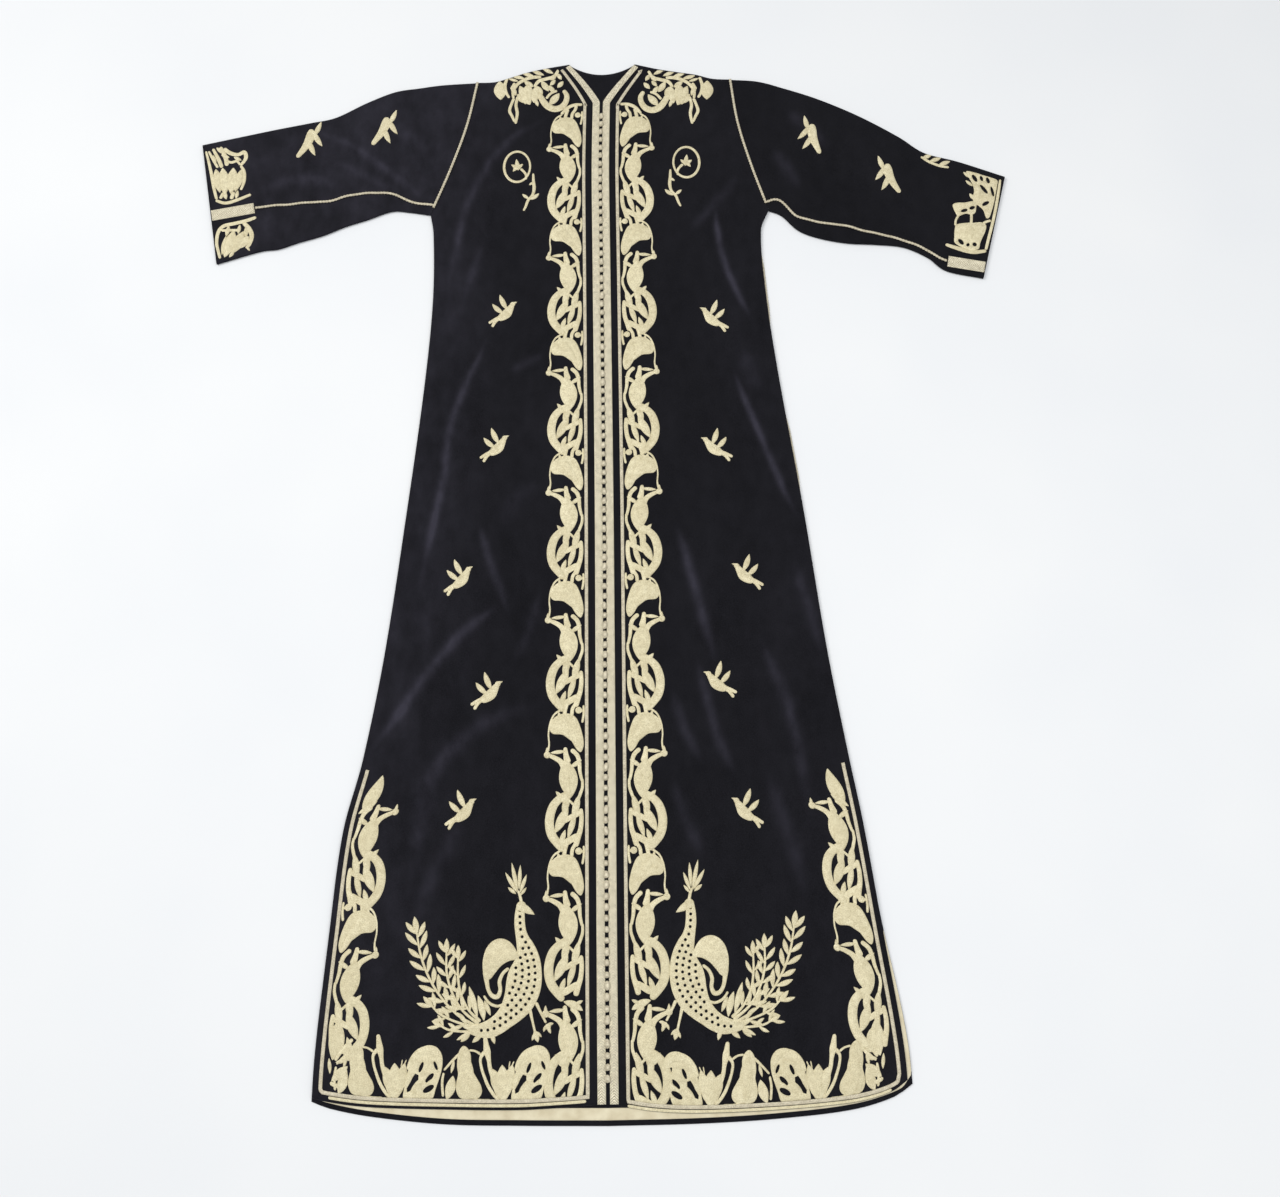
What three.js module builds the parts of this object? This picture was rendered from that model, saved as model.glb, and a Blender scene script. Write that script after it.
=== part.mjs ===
// A velvet kaftan laid flat on its back, front up, with its neck towards +Y. Units are millimetres.
// Across the garment, x runs from the closing line. Along it, y runs up from the middle of the front hem.
import * as THREE from 'three';

// Cloth layers and seams
const VELVET = 2.0;
const SEAM_GAP = 0.3;
const HALF_GAP = SEAM_GAP / 2;
const LAYER_PITCH = VELVET + SEAM_GAP;
const FLAT_HEIGHT = LAYER_PITCH + VELVET;

// Where the outline's middle lies, so that the origin is under the middle of the garment
const MIDDLE = { x: 4.5, y: 723 };

// Neck opening
const V_POINT_Y = 1404;
const NECK_POINT_Y = 1471;
const BACK_NECK_Y = 1454;
const NECK_SHARE = 0.26;
const NECK_BOW = 0.85;

// Armhole ends and side slits
const SHOULDER_Y = 1441;
const UNDERARM_Y = 1217;
const SLIT_TOP_Y = 408;

// Flat braid, narrow edging and knots of the front opening
const BRAID = { width: 10.5, thickness: 1.2, fromClosing: 7.6 };
const EDGING = { width: 4.6, thickness: 0.9, fromClosing: 24.5, fromSlit: 10 };
const EDGING_FROM_HEM = { left: 10, right: 7 };
// Both draw in towards the neck edge on their way to the shoulder
const AT_SHOULDER = { braidWidth: 7.6, braidFromNeck: 4.8, edgingFromNeck: 15.5 };
const KNOT = { pitch: 13.5, length: 8.6, width: 7.4, height: 3.4, neckWidth: 1.8, neckHeight: 0.9 };
const KNOT_ROW = { fromY: 22, toY: 1390 };

// Cords over the seams, bands at the cuffs and tape inside the back hem
const SEAM_CORD = { width: 4.0, height: 2.6 };
const SIDE_CORD = { width: 3.0, height: 1.8, inset: 2.4, fromY: 414, toY: 1166, steps: 20 };
const CUFF_BAND = { width: 17.5, thickness: 1.2, fromCuff: 1.5 };
const FACING = { width: 14, thickness: 0.6, fromHem: 6.5, leftEnd: 0.96, topY: 196 };

// Below the slit tops the fronts are loose and lie this much higher, clear of the tape
const LOOSE_LIFT = 0.9;
const LOOSE_UP = { full: 0.2, none: 0.3 };

// Plain border left beside seams and edges before any crease begins, and the length of its ramp
const CREASE_BORDER = { edge: 36, ramp: 40, seam: 14, sleeveRamp: 26 };

// Silhouette of the body: half width to each side of x = 0, and the wander of the closing line
const BODY = [
  { y: -30, left: 357, right: 366, closing: 1.5 },
  { y: 60, left: 356, right: 364, closing: 1.5 },
  { y: 200, left: 346, right: 347, closing: 1.6 },
  { y: 330, left: 334, right: 331, closing: 1.9 },
  { y: 420, left: 313, right: 317, closing: 2.1 },
  { y: 560, left: 290, right: 297, closing: 2.5 },
  { y: 760, left: 267, right: 275, closing: 2.9 },
  { y: 950, left: 248, right: 251, closing: 2.6 },
  { y: 1080, left: 240, right: 238, closing: 2.2 },
  { y: 1185, left: 242, right: 235, closing: 1.8 },
  { y: 1217, left: 247, right: 247, closing: 1.6 },
];

// The same above the underarm, along the armholes
const ARMHOLE = [
  { y: 1217, left: 247, right: 247, closing: 1.6 },
  { y: 1290, left: 220, right: 225, closing: 1.6 },
  { y: 1365, left: 197, right: 207, closing: 3.0 },
  { y: 1441, left: 182, right: 198, closing: 5.0 },
];

// Height of the front hem, from the closing line out to the side
const FRONT_HEM = [
  { across: 0, left: 0, right: 0 },
  { across: 0.15, left: -3, right: -9 },
  { across: 0.3, left: -5, right: -12 },
  { across: 0.55, left: -3, right: -10 },
  { across: 0.76, left: 0, right: -5 },
  { across: 0.86, left: 3, right: 0 },
  { across: 0.95, left: 8, right: 10 },
  { across: 1, left: 12, right: 22 },
];

// Height of the back hem, which hangs a little below the front
const BACK_HEM = [
  { across: 0, left: -25, right: -25 },
  { across: 0.3, left: -23, right: -24 },
  { across: 0.55, left: -20, right: -20 },
  { across: 0.8, left: -10, right: -11 },
  { across: 0.94, left: 0, right: 3 },
  { across: 1, left: 8, right: 17 },
];

// Shoulder line from the neck point out to the armhole
const SHOULDER = [
  { across: 0.26, left: 1471, right: 1470 },
  { across: 0.44, left: 1465, right: 1461 },
  { across: 0.6, left: 1458, right: 1455 },
  { across: 0.74, left: 1449, right: 1450 },
  { across: 0.86, left: 1442, right: 1443 },
  { across: 1, left: 1441, right: 1441 },
];

// Sections of each sleeve from armhole to cuff: its upper fold, its lower fold, and where the seam lies between
const LEFT_SLEEVE = [
  { topX: -182, topY: 1441, lowX: -247, lowY: 1217, seam: 0.935 },
  { topX: -234, topY: 1438, lowX: -276, lowY: 1222, seam: 0.93 },
  { topX: -270, topY: 1433, lowX: -304, lowY: 1224, seam: 0.875 },
  { topX: -306, topY: 1427, lowX: -339, lowY: 1211, seam: 0.8 },
  { topX: -347, topY: 1409, lowX: -371, lowY: 1200, seam: 0.762 },
  { topX: -393, topY: 1384, lowX: -403, lowY: 1186, seam: 0.724 },
  { topX: -432, topY: 1375, lowX: -438, lowY: 1175, seam: 0.682 },
  { topX: -480, topY: 1365, lowX: -466, lowY: 1165, seam: 0.65 },
  { topX: -524, topY: 1355, lowX: -494, lowY: 1161, seam: 0.636 },
  { topX: -589, topY: 1340, lowX: -554, lowY: 1142, seam: 0.607 },
];
const RIGHT_SLEEVE = [
  { topX: 198, topY: 1441, lowX: 247, lowY: 1217, seam: 0.945 },
  { topX: 240, topY: 1437, lowX: 266, lowY: 1208, seam: 0.895 },
  { topX: 280, topY: 1424, lowX: 289, lowY: 1184, seam: 0.91 },
  { topX: 322, topY: 1408, lowX: 318, lowY: 1171, seam: 0.895 },
  { topX: 364, topY: 1388, lowX: 359, lowY: 1162, seam: 0.885 },
  { topX: 403, topY: 1366, lowX: 401, lowY: 1159, seam: 0.92 },
  { topX: 447, topY: 1337, lowX: 440, lowY: 1154, seam: 0.945 },
  { topX: 482, topY: 1310, lowX: 474, lowY: 1137, seam: 0.945 },
  { topX: 532, topY: 1294, lowX: 500, lowY: 1115, seam: 0.92 },
  { topX: 598, topY: 1268, lowX: 552, lowY: 1102, seam: 0.9 },
];
const CUFF_BAND_SECTION = 8;
const PLAIN_FROM_SECTION = 7;

// Soft ridges in the cloth: the piece, the two ends, the half width and the height
const CREASES = [
  { piece: 'right', x1: 166, y1: 1216, x2: 196, y2: 1070, width: 20, height: 3.2 },
  { piece: 'right', x1: 196, y1: 1070, x2: 202, y2: 915, width: 18, height: 2.6 },
  { piece: 'right', x1: 202, y1: 915, x2: 250, y2: 790, width: 20, height: 3.0 },
  { piece: 'right', x1: 110, y1: 690, x2: 190, y2: 520, width: 26, height: 2.2 },
  { piece: 'right', x1: 150, y1: 330, x2: 236, y2: 150, width: 28, height: 2.4 },
  { piece: 'left', x1: -150, y1: 1240, x2: -196, y2: 1120, width: 20, height: 2.0 },
  { piece: 'left', x1: -180, y1: 960, x2: -214, y2: 800, width: 20, height: 3.0 },
  { piece: 'left', x1: -165, y1: 640, x2: -250, y2: 500, width: 24, height: 3.0 },
  { piece: 'left', x1: -120, y1: 400, x2: -150, y2: 250, width: 24, height: 2.0 },
  { piece: 'leftSleeve', x1: -262, y1: 1300, x2: -360, y2: 1360, width: 22, height: 2.6 },
  { piece: 'leftSleeve', x1: -380, y1: 1300, x2: -470, y2: 1320, width: 22, height: 2.0 },
  { piece: 'rightSleeve', x1: 262, y1: 1290, x2: 340, y2: 1330, width: 22, height: 2.6 },
  { piece: 'rightSleeve', x1: 370, y1: 1270, x2: 440, y2: 1240, width: 22, height: 2.2 },
];

// Rows and columns of the cloth walls
const LOOSE_ROWS = 8;
const SEWN_ROWS = 15;
const ARMHOLE_ROWS = 6;
const COLUMNS = [0, 0.09, 0.18, 0.26, 0.35, 0.44, 0.52, 0.6, 0.68, 0.76, 0.84, 0.92, 1];
const BACK_COLUMNS = [0, 0.13, 0.26, 0.44, 0.6, 0.74, 0.86, 1];
const UPPER_STEPS = { beforeSeam: 7, afterSeam: 2 };
const LOWER_STEPS = 5;

const DIRECTION = { left: -1, right: 1 };

const velvet = new THREE.MeshStandardMaterial({ color: '#17131a', roughness: 0.92, metalness: 0 });
const sleeveVelvet = new THREE.MeshStandardMaterial({ color: '#19151c', roughness: 0.92, metalness: 0 });
const goldBraid = new THREE.MeshStandardMaterial({ color: '#dcc898', roughness: 0.5, metalness: 0.35 });
const goldCord = new THREE.MeshStandardMaterial({ color: '#d8c493', roughness: 0.5, metalness: 0.35 });
const creamTape = new THREE.MeshStandardMaterial({ color: '#d9d0b4', roughness: 0.8, metalness: 0 });

function mix(a, b, share) {
  return a + (b - a) * share;
}

function smoothStep(from, to, value) {
  const share = Math.min(Math.max((value - from) / (to - from), 0), 1);
  return share * share * (3 - 2 * share);
}

// One column of a table, read smoothly at a place along its key column
function readTable(table, key, column, place) {
  const last = table.length - 1;
  if (place <= table[0][key]) return table[0][column];
  if (place >= table[last][key]) return table[last][column];
  let row = 0;
  while (table[row + 1][key] < place) row += 1;
  const a = table[row];
  const b = table[row + 1];
  const before = table[Math.max(row - 1, 0)];
  const after = table[Math.min(row + 2, last)];
  const span = b[key] - a[key];
  const share = (place - a[key]) / span;
  const slopeA = ((b[column] - before[column]) / (b[key] - before[key])) * span;
  const slopeB = ((after[column] - a[column]) / (after[key] - a[key])) * span;
  const square = share * share;
  const cube = square * share;
  return (2 * cube - 3 * square + 1) * a[column] + (cube - 2 * square + share) * slopeA
    + (3 * square - 2 * cube) * b[column] + (cube - square) * slopeB;
}

function halfWidth(side, y) {
  return readTable(y < UNDERARM_Y ? BODY : ARMHOLE, 'y', side, y);
}

function closingLine(y) {
  return readTable(y < UNDERARM_Y ? BODY : ARMHOLE, 'y', 'closing', y);
}

// The front and the back are cut alike but for the hem, the neck and how far the sides are drawn in
const FRONT_CUT = {
  hem: FRONT_HEM,
  neck: (share) => mix(V_POINT_Y, NECK_POINT_Y, share ** NECK_BOW),
  drawnIn: () => HALF_GAP,
  fromClosing: HALF_GAP,
};
const BACK_CUT = {
  hem: BACK_HEM,
  neck: (share) => mix(BACK_NECK_Y, NECK_POINT_Y, share * share),
  drawnIn: backDrawnIn,
  fromClosing: 0,
};

// The back stops short of the front along the sewn sides, where the seam rolls under, and shows past it at the slits
const ROLL_UNDER = 4.6;
const SHOWS_PAST = { left: -1, right: -6 };
function backDrawnIn(side, y) {
  if (y > UNDERARM_Y - 1) return HALF_GAP;
  const sewn = smoothStep(SLIT_TOP_Y - 60, SLIT_TOP_Y, y);
  const loose = SHOWS_PAST[side] * (1 - smoothStep(60, 260, y));
  const underarm = smoothStep(UNDERARM_Y - 40, UNDERARM_Y - 1, y);
  return mix(mix(loose, ROLL_UNDER, sewn), HALF_GAP, underarm);
}

// The hem's curve fades out of the rows of a cut piece by this share of the way up
const HEM_FADES_UP = 0.6;

// A point of a cut piece: across runs from the closing line to the side, up from the hem to the shoulder
function cutPoint(cut, side, across, up) {
  const low = readTable(cut.hem, 'across', side, across);
  const atNeck = across < NECK_SHARE;
  const high = atNeck ? cut.neck(across / NECK_SHARE) : readTable(SHOULDER, 'across', side, across);
  const y = high * up + low * (1 - smoothStep(0, HEM_FADES_UP, up));
  const inner = closingLine(y) + DIRECTION[side] * cut.fromClosing;
  const outer = DIRECTION[side] * (halfWidth(side, y) - cut.drawnIn(side, y));
  return { x: mix(inner, outer, across), y };
}

// Height that the creases of one piece add at a point
function creaseHeight(piece, x, y) {
  let height = 0;
  for (const crease of CREASES) {
    if (crease.piece !== piece) continue;
    const runX = crease.x2 - crease.x1;
    const runY = crease.y2 - crease.y1;
    const share = ((x - crease.x1) * runX + (y - crease.y1) * runY) / (runX ** 2 + runY ** 2);
    const onLine = Math.min(Math.max(share, 0), 1);
    const away = Math.hypot(x - crease.x1 - runX * onLine, y - crease.y1 - runY * onLine);
    height = Math.max(height, crease.height * Math.exp(-((away / crease.width) ** 2)));
  }
  return height;
}

function looseLift(up) {
  return LOOSE_LIFT * (1 - smoothStep(LOOSE_UP.full, LOOSE_UP.none, up));
}

// Underside of a front piece above the surface that the garment lies on
function frontHeight(side, up, x, y) {
  const fromClosing = Math.abs(x - closingLine(y));
  const fromSide = halfWidth(side, y) - Math.abs(x);
  const { edge, ramp } = CREASE_BORDER;
  const clear = smoothStep(edge, edge + ramp, fromClosing) * smoothStep(edge, edge + ramp, fromSide)
    * smoothStep(edge, edge + ramp, y) * smoothStep(edge, edge + ramp, NECK_POINT_Y - y);
  return LAYER_PITCH + looseLift(up) + clear * creaseHeight(side, x, y);
}

// A closed solid from corner positions and faces, turned so that it faces out
function solid(name, points, faces, material) {
  let volume = 0;
  for (const [a, b, c] of faces) volume += points[a].dot(points[b].clone().cross(points[c]));
  const index = volume < 0 ? faces.map(([a, b, c]) => [a, c, b]) : faces;
  const geometry = new THREE.BufferGeometry();
  const positions = points.flatMap((point) => [point.x - MIDDLE.x, point.y - MIDDLE.y, point.z]);
  geometry.setAttribute('position', new THREE.Float32BufferAttribute(positions, 3));
  geometry.setIndex(index.flat());
  geometry.computeVertexNormals();
  const mesh = new THREE.Mesh(geometry, material);
  mesh.name = name;
  return mesh;
}

// A wall of cloth between two sheets of points that share one grid
function wall(name, lower, upper, material) {
  const rows = lower.length;
  const columns = lower[0].length;
  const points = [...lower.flat(), ...upper.flat()];
  const at = (layer, row, column) => (layer * rows + row) * columns + column;
  const faces = [];
  const quad = (a, b, c, d) => faces.push([a, b, c], [a, c, d]);
  for (let row = 0; row < rows - 1; row += 1) {
    for (let column = 0; column < columns - 1; column += 1) {
      quad(at(0, row, column), at(0, row + 1, column), at(0, row + 1, column + 1), at(0, row, column + 1));
      quad(at(1, row, column), at(1, row, column + 1), at(1, row + 1, column + 1), at(1, row + 1, column));
    }
    quad(at(0, row, 0), at(1, row, 0), at(1, row + 1, 0), at(0, row + 1, 0));
    const end = columns - 1;
    quad(at(0, row, end), at(0, row + 1, end), at(1, row + 1, end), at(1, row, end));
  }
  for (let column = 0; column < columns - 1; column += 1) {
    quad(at(0, 0, column), at(0, 0, column + 1), at(1, 0, column + 1), at(1, 0, column));
    const end = rows - 1;
    quad(at(0, end, column), at(1, end, column), at(1, end, column + 1), at(0, end, column + 1));
  }
  return solid(name, points, faces, material);
}

// A solid through closed rings of points, with flat ends
function loft(name, rings, material) {
  const size = rings[0].length;
  const faces = [];
  for (let ring = 0; ring < rings.length - 1; ring += 1) {
    for (let step = 0; step < size; step += 1) {
      const next = (step + 1) % size;
      const a = ring * size + step;
      const b = ring * size + next;
      faces.push([a, b, b + size], [a, b + size, a + size]);
    }
  }
  const last = (rings.length - 1) * size;
  for (let step = 1; step < size - 1; step += 1) {
    faces.push([0, step + 1, step], [last, last + step, last + step + 1]);
  }
  return solid(name, rings.flat(), faces, material);
}

// A tube open at both ends, between outer and inner rings
function openTube(name, outer, inner, material) {
  const size = outer[0].length;
  const stations = outer.length;
  const points = [...outer.flat(), ...inner.flat()];
  const faces = [];
  const at = (layer, station, step) => (layer * stations + station) * size + (step % size);
  const quad = (a, b, c, d) => faces.push([a, b, c], [a, c, d]);
  for (let step = 0; step < size; step += 1) {
    for (let station = 0; station < stations - 1; station += 1) {
      const next = station + 1;
      quad(at(0, station, step), at(0, station, step + 1), at(0, next, step + 1), at(0, next, step));
      quad(at(1, station, step), at(1, next, step), at(1, next, step + 1), at(1, station, step + 1));
    }
    const end = stations - 1;
    quad(at(0, 0, step), at(1, 0, step), at(1, 0, step + 1), at(0, 0, step + 1));
    quad(at(0, end, step), at(0, end, step + 1), at(1, end, step + 1), at(1, end, step));
  }
  return solid(name, points, faces, material);
}

// Unit direction across a path at each of its points, and how much a corner stretches it
function acrossPath(path) {
  return path.map((point, place) => {
    const before = path[Math.max(place - 1, 0)];
    const after = path[Math.min(place + 1, path.length - 1)];
    const into = new THREE.Vector2(point.x - before.x, point.y - before.y);
    const out = new THREE.Vector2(after.x - point.x, after.y - point.y);
    if (into.length() === 0) into.copy(out);
    if (out.length() === 0) out.copy(into);
    into.normalize();
    out.normalize();
    const along = into.clone().add(out).normalize();
    const stretch = 1 / along.dot(into);
    return { x: along.y * stretch, y: -along.x * stretch };
  });
}

// The same path moved sideways, by a distance for each point
function offsetPath(path, distance) {
  const across = acrossPath(path);
  return path.map((point, place) => ({
    x: point.x + across[place].x * distance(place),
    y: point.y + across[place].y * distance(place),
    z: point.z,
  }));
}

// A trim that lies on the cloth along a path, with the section that profile gives at each point
function trim(name, path, profile, material) {
  const across = acrossPath(path);
  const rings = path.map((point, place) => profile(place).map(([aside, height]) => new THREE.Vector3(
    point.x + across[place].x * aside,
    point.y + across[place].y * aside,
    point.z + height,
  )));
  return loft(name, rings, material);
}

function flatProfile(width, thickness) {
  const half = width / 2;
  return [[-half, 0], [half, 0], [half, thickness], [-half, thickness]];
}

const CORD_FLAT = 0.55;
function cordProfile(width, height) {
  const half = width / 2;
  const foot = half * CORD_FLAT;
  return [[-foot, 0], [foot, 0], [half, height / 2], [foot, height], [-foot, height], [-half, height / 2]];
}

// Shares of the way up at which the cloth walls have a row: hem to slit top, to underarm, to shoulder
function rowPlaces() {
  const slit = SLIT_TOP_Y / SHOULDER_Y;
  const underarm = UNDERARM_Y / SHOULDER_Y;
  const rows = [0];
  for (let step = 1; step <= LOOSE_ROWS; step += 1) rows.push(slit * (step / LOOSE_ROWS));
  for (let step = 1; step <= SEWN_ROWS; step += 1) rows.push(mix(slit, underarm, step / SEWN_ROWS));
  for (let step = 1; step <= ARMHOLE_ROWS; step += 1) rows.push(mix(underarm, 1, step / ARMHOLE_ROWS));
  return rows;
}
const ROWS = rowPlaces();

function frontPanel(side) {
  const lower = ROWS.map((up) => COLUMNS.map((across) => {
    const { x, y } = cutPoint(FRONT_CUT, side, across, up);
    return new THREE.Vector3(x, y, frontHeight(side, up, x, y));
  }));
  const upper = lower.map((row) => row.map((point) => point.clone().setZ(point.z + VELVET)));
  return wall(`front_${side}`, lower, upper, velvet);
}

function backPanel() {
  const leftColumns = BACK_COLUMNS.slice(1).reverse().map((across) => ({ side: 'left', across }));
  const rightColumns = BACK_COLUMNS.map((across) => ({ side: 'right', across }));
  const lower = ROWS.map((up) => [...leftColumns, ...rightColumns].map(({ side, across }) => {
    const { x, y } = cutPoint(BACK_CUT, side, across, up);
    return new THREE.Vector3(x, y, 0);
  }));
  const upper = lower.map((row) => row.map((point) => point.clone().setZ(VELVET)));
  return wall('back', lower, upper, velvet);
}

// Half width at the armhole along the straight edges between the rows of the body's walls
function armholeEdge(side, y) {
  const rise = (SHOULDER_Y - UNDERARM_Y) / ARMHOLE_ROWS;
  const row = Math.min(Math.floor((y - UNDERARM_Y) / rise), ARMHOLE_ROWS - 1);
  const rowY = UNDERARM_Y + row * rise;
  return mix(halfWidth(side, rowY), halfWidth(side, rowY + rise), (y - rowY) / rise);
}

// Place on a sleeve section, from its upper fold at 0 to its lower fold at 1; the first section follows the armhole
function sleevePlace(side, section, place, share) {
  const x = mix(section.topX, section.lowX, share);
  const y = mix(section.topY, section.lowY, share);
  return place === 0 ? { x: DIRECTION[side] * (armholeEdge(side, y) + HALF_GAP), y } : { x, y };
}

// Shares across a section's upper layer, with one always on the seam
function upperShares(seam) {
  const shares = [];
  for (let step = 1; step <= UPPER_STEPS.beforeSeam; step += 1) shares.push((seam * step) / UPPER_STEPS.beforeSeam);
  for (let step = 1; step < UPPER_STEPS.afterSeam; step += 1) shares.push(mix(seam, 1, step / UPPER_STEPS.afterSeam));
  return shares;
}

// Height that creases add to the upper layer of a sleeve, none at folds, seam, armhole or cuff
function sleeveLift(side, section, place, share) {
  const { x, y } = sleevePlace(side, section, place, share);
  const length = Math.hypot(section.topX - section.lowX, section.topY - section.lowY);
  const { seam, sleeveRamp } = CREASE_BORDER;
  const nearest = Math.min(share, 1 - share, Math.abs(share - section.seam)) * length;
  const plainEnd = place === 0 || place >= PLAIN_FROM_SECTION;
  return plainEnd ? 0 : smoothStep(seam, seam + sleeveRamp, nearest) * creaseHeight(`${side}Sleeve`, x, y);
}

function sleeveRings(side, sections) {
  const rings = { outer: [], inner: [] };
  sections.forEach((section, place) => {
    const length = Math.hypot(section.topX - section.lowX, section.topY - section.lowY);
    const shares = upperShares(section.seam);
    const ringPoint = (share, height) => {
      const { x, y } = sleevePlace(side, section, place, share);
      return new THREE.Vector3(x, y, height);
    };
    const ring = (fromFold, foldDepth, low, high) => {
      const foldShare = foldDepth / length;
      const edge = fromFold / length;
      const points = [ringPoint(edge, FLAT_HEIGHT / 2), ringPoint(edge + foldShare, high)];
      for (const share of shares) points.push(ringPoint(share, high + sleeveLift(side, section, place, share)));
      points.push(ringPoint(1 - edge - foldShare, high), ringPoint(1 - edge, FLAT_HEIGHT / 2));
      for (let step = 0; step <= LOWER_STEPS; step += 1) {
        points.push(ringPoint(mix(1 - edge - foldShare, edge + foldShare, step / LOWER_STEPS), low));
      }
      return points;
    };
    rings.outer.push(ring(0, FLAT_HEIGHT / 2, 0, FLAT_HEIGHT));
    rings.inner.push(ring(VELVET, FLAT_HEIGHT / 4, VELVET, VELVET + SEAM_GAP));
  });
  return rings;
}

function sleeve(side, sections) {
  const { outer, inner } = sleeveRings(side, sections);
  return openTube(`sleeve_${side}`, outer, inner, sleeveVelvet);
}

// Front edge of one side, up the opening and then along the neck to the shoulder
function openingEdge(side) {
  const edge = ROWS.map((up) => {
    const { x, y } = cutPoint(FRONT_CUT, side, 0, up);
    return { x, y, z: LAYER_PITCH + looseLift(up) + VELVET + SEAM_GAP };
  });
  for (const across of COLUMNS.filter((share) => share > 0 && share <= NECK_SHARE)) {
    edge.push({ ...cutPoint(FRONT_CUT, side, across, 1), z: FLAT_HEIGHT + SEAM_GAP });
  }
  return edge;
}

// Share of the way along the neck, none up to the point of the V and one at the shoulder
function neckShare(place) {
  const alongNeck = COLUMNS.filter((share) => share <= NECK_SHARE).length - 1;
  return Math.max(place - ROWS.length + 1, 0) / alongNeck;
}

function frontBraid(side) {
  const { fromClosing, width, thickness } = BRAID;
  const away = (place) => mix(fromClosing - HALF_GAP, AT_SHOULDER.braidFromNeck, neckShare(place));
  const path = offsetPath(openingEdge(side), (place) => DIRECTION[side] * away(place));
  const profile = (place) => flatProfile(mix(width, AT_SHOULDER.braidWidth, neckShare(place)), thickness);
  return trim(`braid_${side}`, path, profile, goldBraid);
}

// Edging from the shoulder down beside the opening, along the hem and up the slit
function frontEdging(side) {
  const hemUp = EDGING_FROM_HEM[side] / SHOULDER_Y;
  const loose = LAYER_PITCH + looseLift(0) + VELVET + SEAM_GAP;
  const away = (place) => mix(EDGING.fromClosing - HALF_GAP, AT_SHOULDER.edgingFromNeck, neckShare(place));
  const inner = offsetPath(openingEdge(side), (place) => DIRECTION[side] * away(place));
  const path = inner.slice(1).reverse();
  const hemX = path[path.length - 1].x;
  path.push({ x: hemX, y: cutPoint(FRONT_CUT, side, COLUMNS[1], hemUp).y, z: loose });
  const slitInset = (y) => DIRECTION[side] * (halfWidth(side, y) - EDGING.fromSlit);
  for (const across of COLUMNS.slice(2, -1)) path.push({ ...cutPoint(FRONT_CUT, side, across, hemUp), z: loose });
  const cornerY = cutPoint(FRONT_CUT, side, COLUMNS[COLUMNS.length - 1], hemUp).y;
  path.push({ x: slitInset(cornerY), y: cornerY, z: loose });
  for (const up of ROWS.slice(1, LOOSE_ROWS + 1)) {
    const { y } = cutPoint(FRONT_CUT, side, 1, up);
    path.push({ x: slitInset(y), y, z: LAYER_PITCH + looseLift(up) + VELVET + SEAM_GAP });
  }
  return trim(`edging_${side}`, path, () => flatProfile(EDGING.width, EDGING.thickness), goldBraid);
}

// A row of knots, thick at each button and thin between, on the two braids
function closureKnots() {
  const count = Math.round((KNOT_ROW.toY - KNOT_ROW.fromY) / KNOT.pitch);
  const path = [];
  const thick = [];
  const add = (y, isThick) => {
    const z = FLAT_HEIGHT + looseLift(y / V_POINT_Y) + 2 * SEAM_GAP + BRAID.thickness;
    path.push({ x: closingLine(y), y, z });
    thick.push(isThick);
  };
  for (let knot = 0; knot < count; knot += 1) {
    const middle = KNOT_ROW.fromY + (knot + 0.5) * KNOT.pitch;
    add(middle - KNOT.length / 2, true);
    add(middle + KNOT.length / 2, true);
    if (knot < count - 1) add(middle + KNOT.pitch / 2, false);
  }
  const profile = (place) => {
    const half = (thick[place] ? KNOT.width : KNOT.neckWidth) / 2;
    const height = thick[place] ? KNOT.height : KNOT.neckHeight;
    return [[-half, 0], [half, 0], [half * CORD_FLAT, height], [-half * CORD_FLAT, height]];
  };
  return trim('closure_knots', path, profile, goldCord);
}

const CORD_ABOVE_UNDERARM = 11;
function armholeCord(side) {
  const path = [];
  const steps = ARMHOLE_ROWS * 2;
  for (let step = 0; step <= steps; step += 1) {
    const y = mix(SHOULDER_Y - 1, UNDERARM_Y + CORD_ABOVE_UNDERARM, step / steps);
    path.push({ x: DIRECTION[side] * halfWidth(side, y), y, z: FLAT_HEIGHT + SEAM_GAP });
  }
  const profile = () => cordProfile(SEAM_CORD.width, SEAM_CORD.height);
  return trim(`armhole_cord_${side}`, path, profile, goldCord);
}

// Point of a sleeve's seam, lifted clear of the cloth
function seamPoint(side, sections, place) {
  const { x, y } = sleevePlace(side, sections[place], place, sections[place].seam);
  return { x, y, z: FLAT_HEIGHT + SEAM_GAP };
}

function between(a, b, share) {
  return { x: mix(a.x, b.x, share), y: mix(a.y, b.y, share), z: mix(a.z, b.z, share) };
}

// Cord over a sleeve seam, from beside the armhole cord to the band at the cuff
const CORD_START_SHARE = 0.13;
const CORD_END_SHARE = 0.96;
function sleeveCord(side, sections) {
  const path = [];
  for (let place = 0; place <= CUFF_BAND_SECTION; place += 1) path.push(seamPoint(side, sections, place));
  path[0] = between(path[0], path[1], CORD_START_SHARE);
  path[CUFF_BAND_SECTION] = between(path[CUFF_BAND_SECTION - 1], path[CUFF_BAND_SECTION], CORD_END_SHARE);
  const profile = () => cordProfile(SEAM_CORD.width, SEAM_CORD.height);
  return trim(`sleeve_cord_${side}`, path, profile, goldCord);
}

function cuffBand(side, sections) {
  const start = seamPoint(side, sections, CUFF_BAND_SECTION);
  const end = seamPoint(side, sections, CUFF_BAND_SECTION + 1);
  const length = Math.hypot(end.x - start.x, end.y - start.y);
  const path = [start, between(start, end, 0.5), between(start, end, 1 - CUFF_BAND.fromCuff / length)];
  return trim(`cuff_braid_${side}`, path, () => flatProfile(CUFF_BAND.width, CUFF_BAND.thickness), goldBraid);
}

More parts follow.
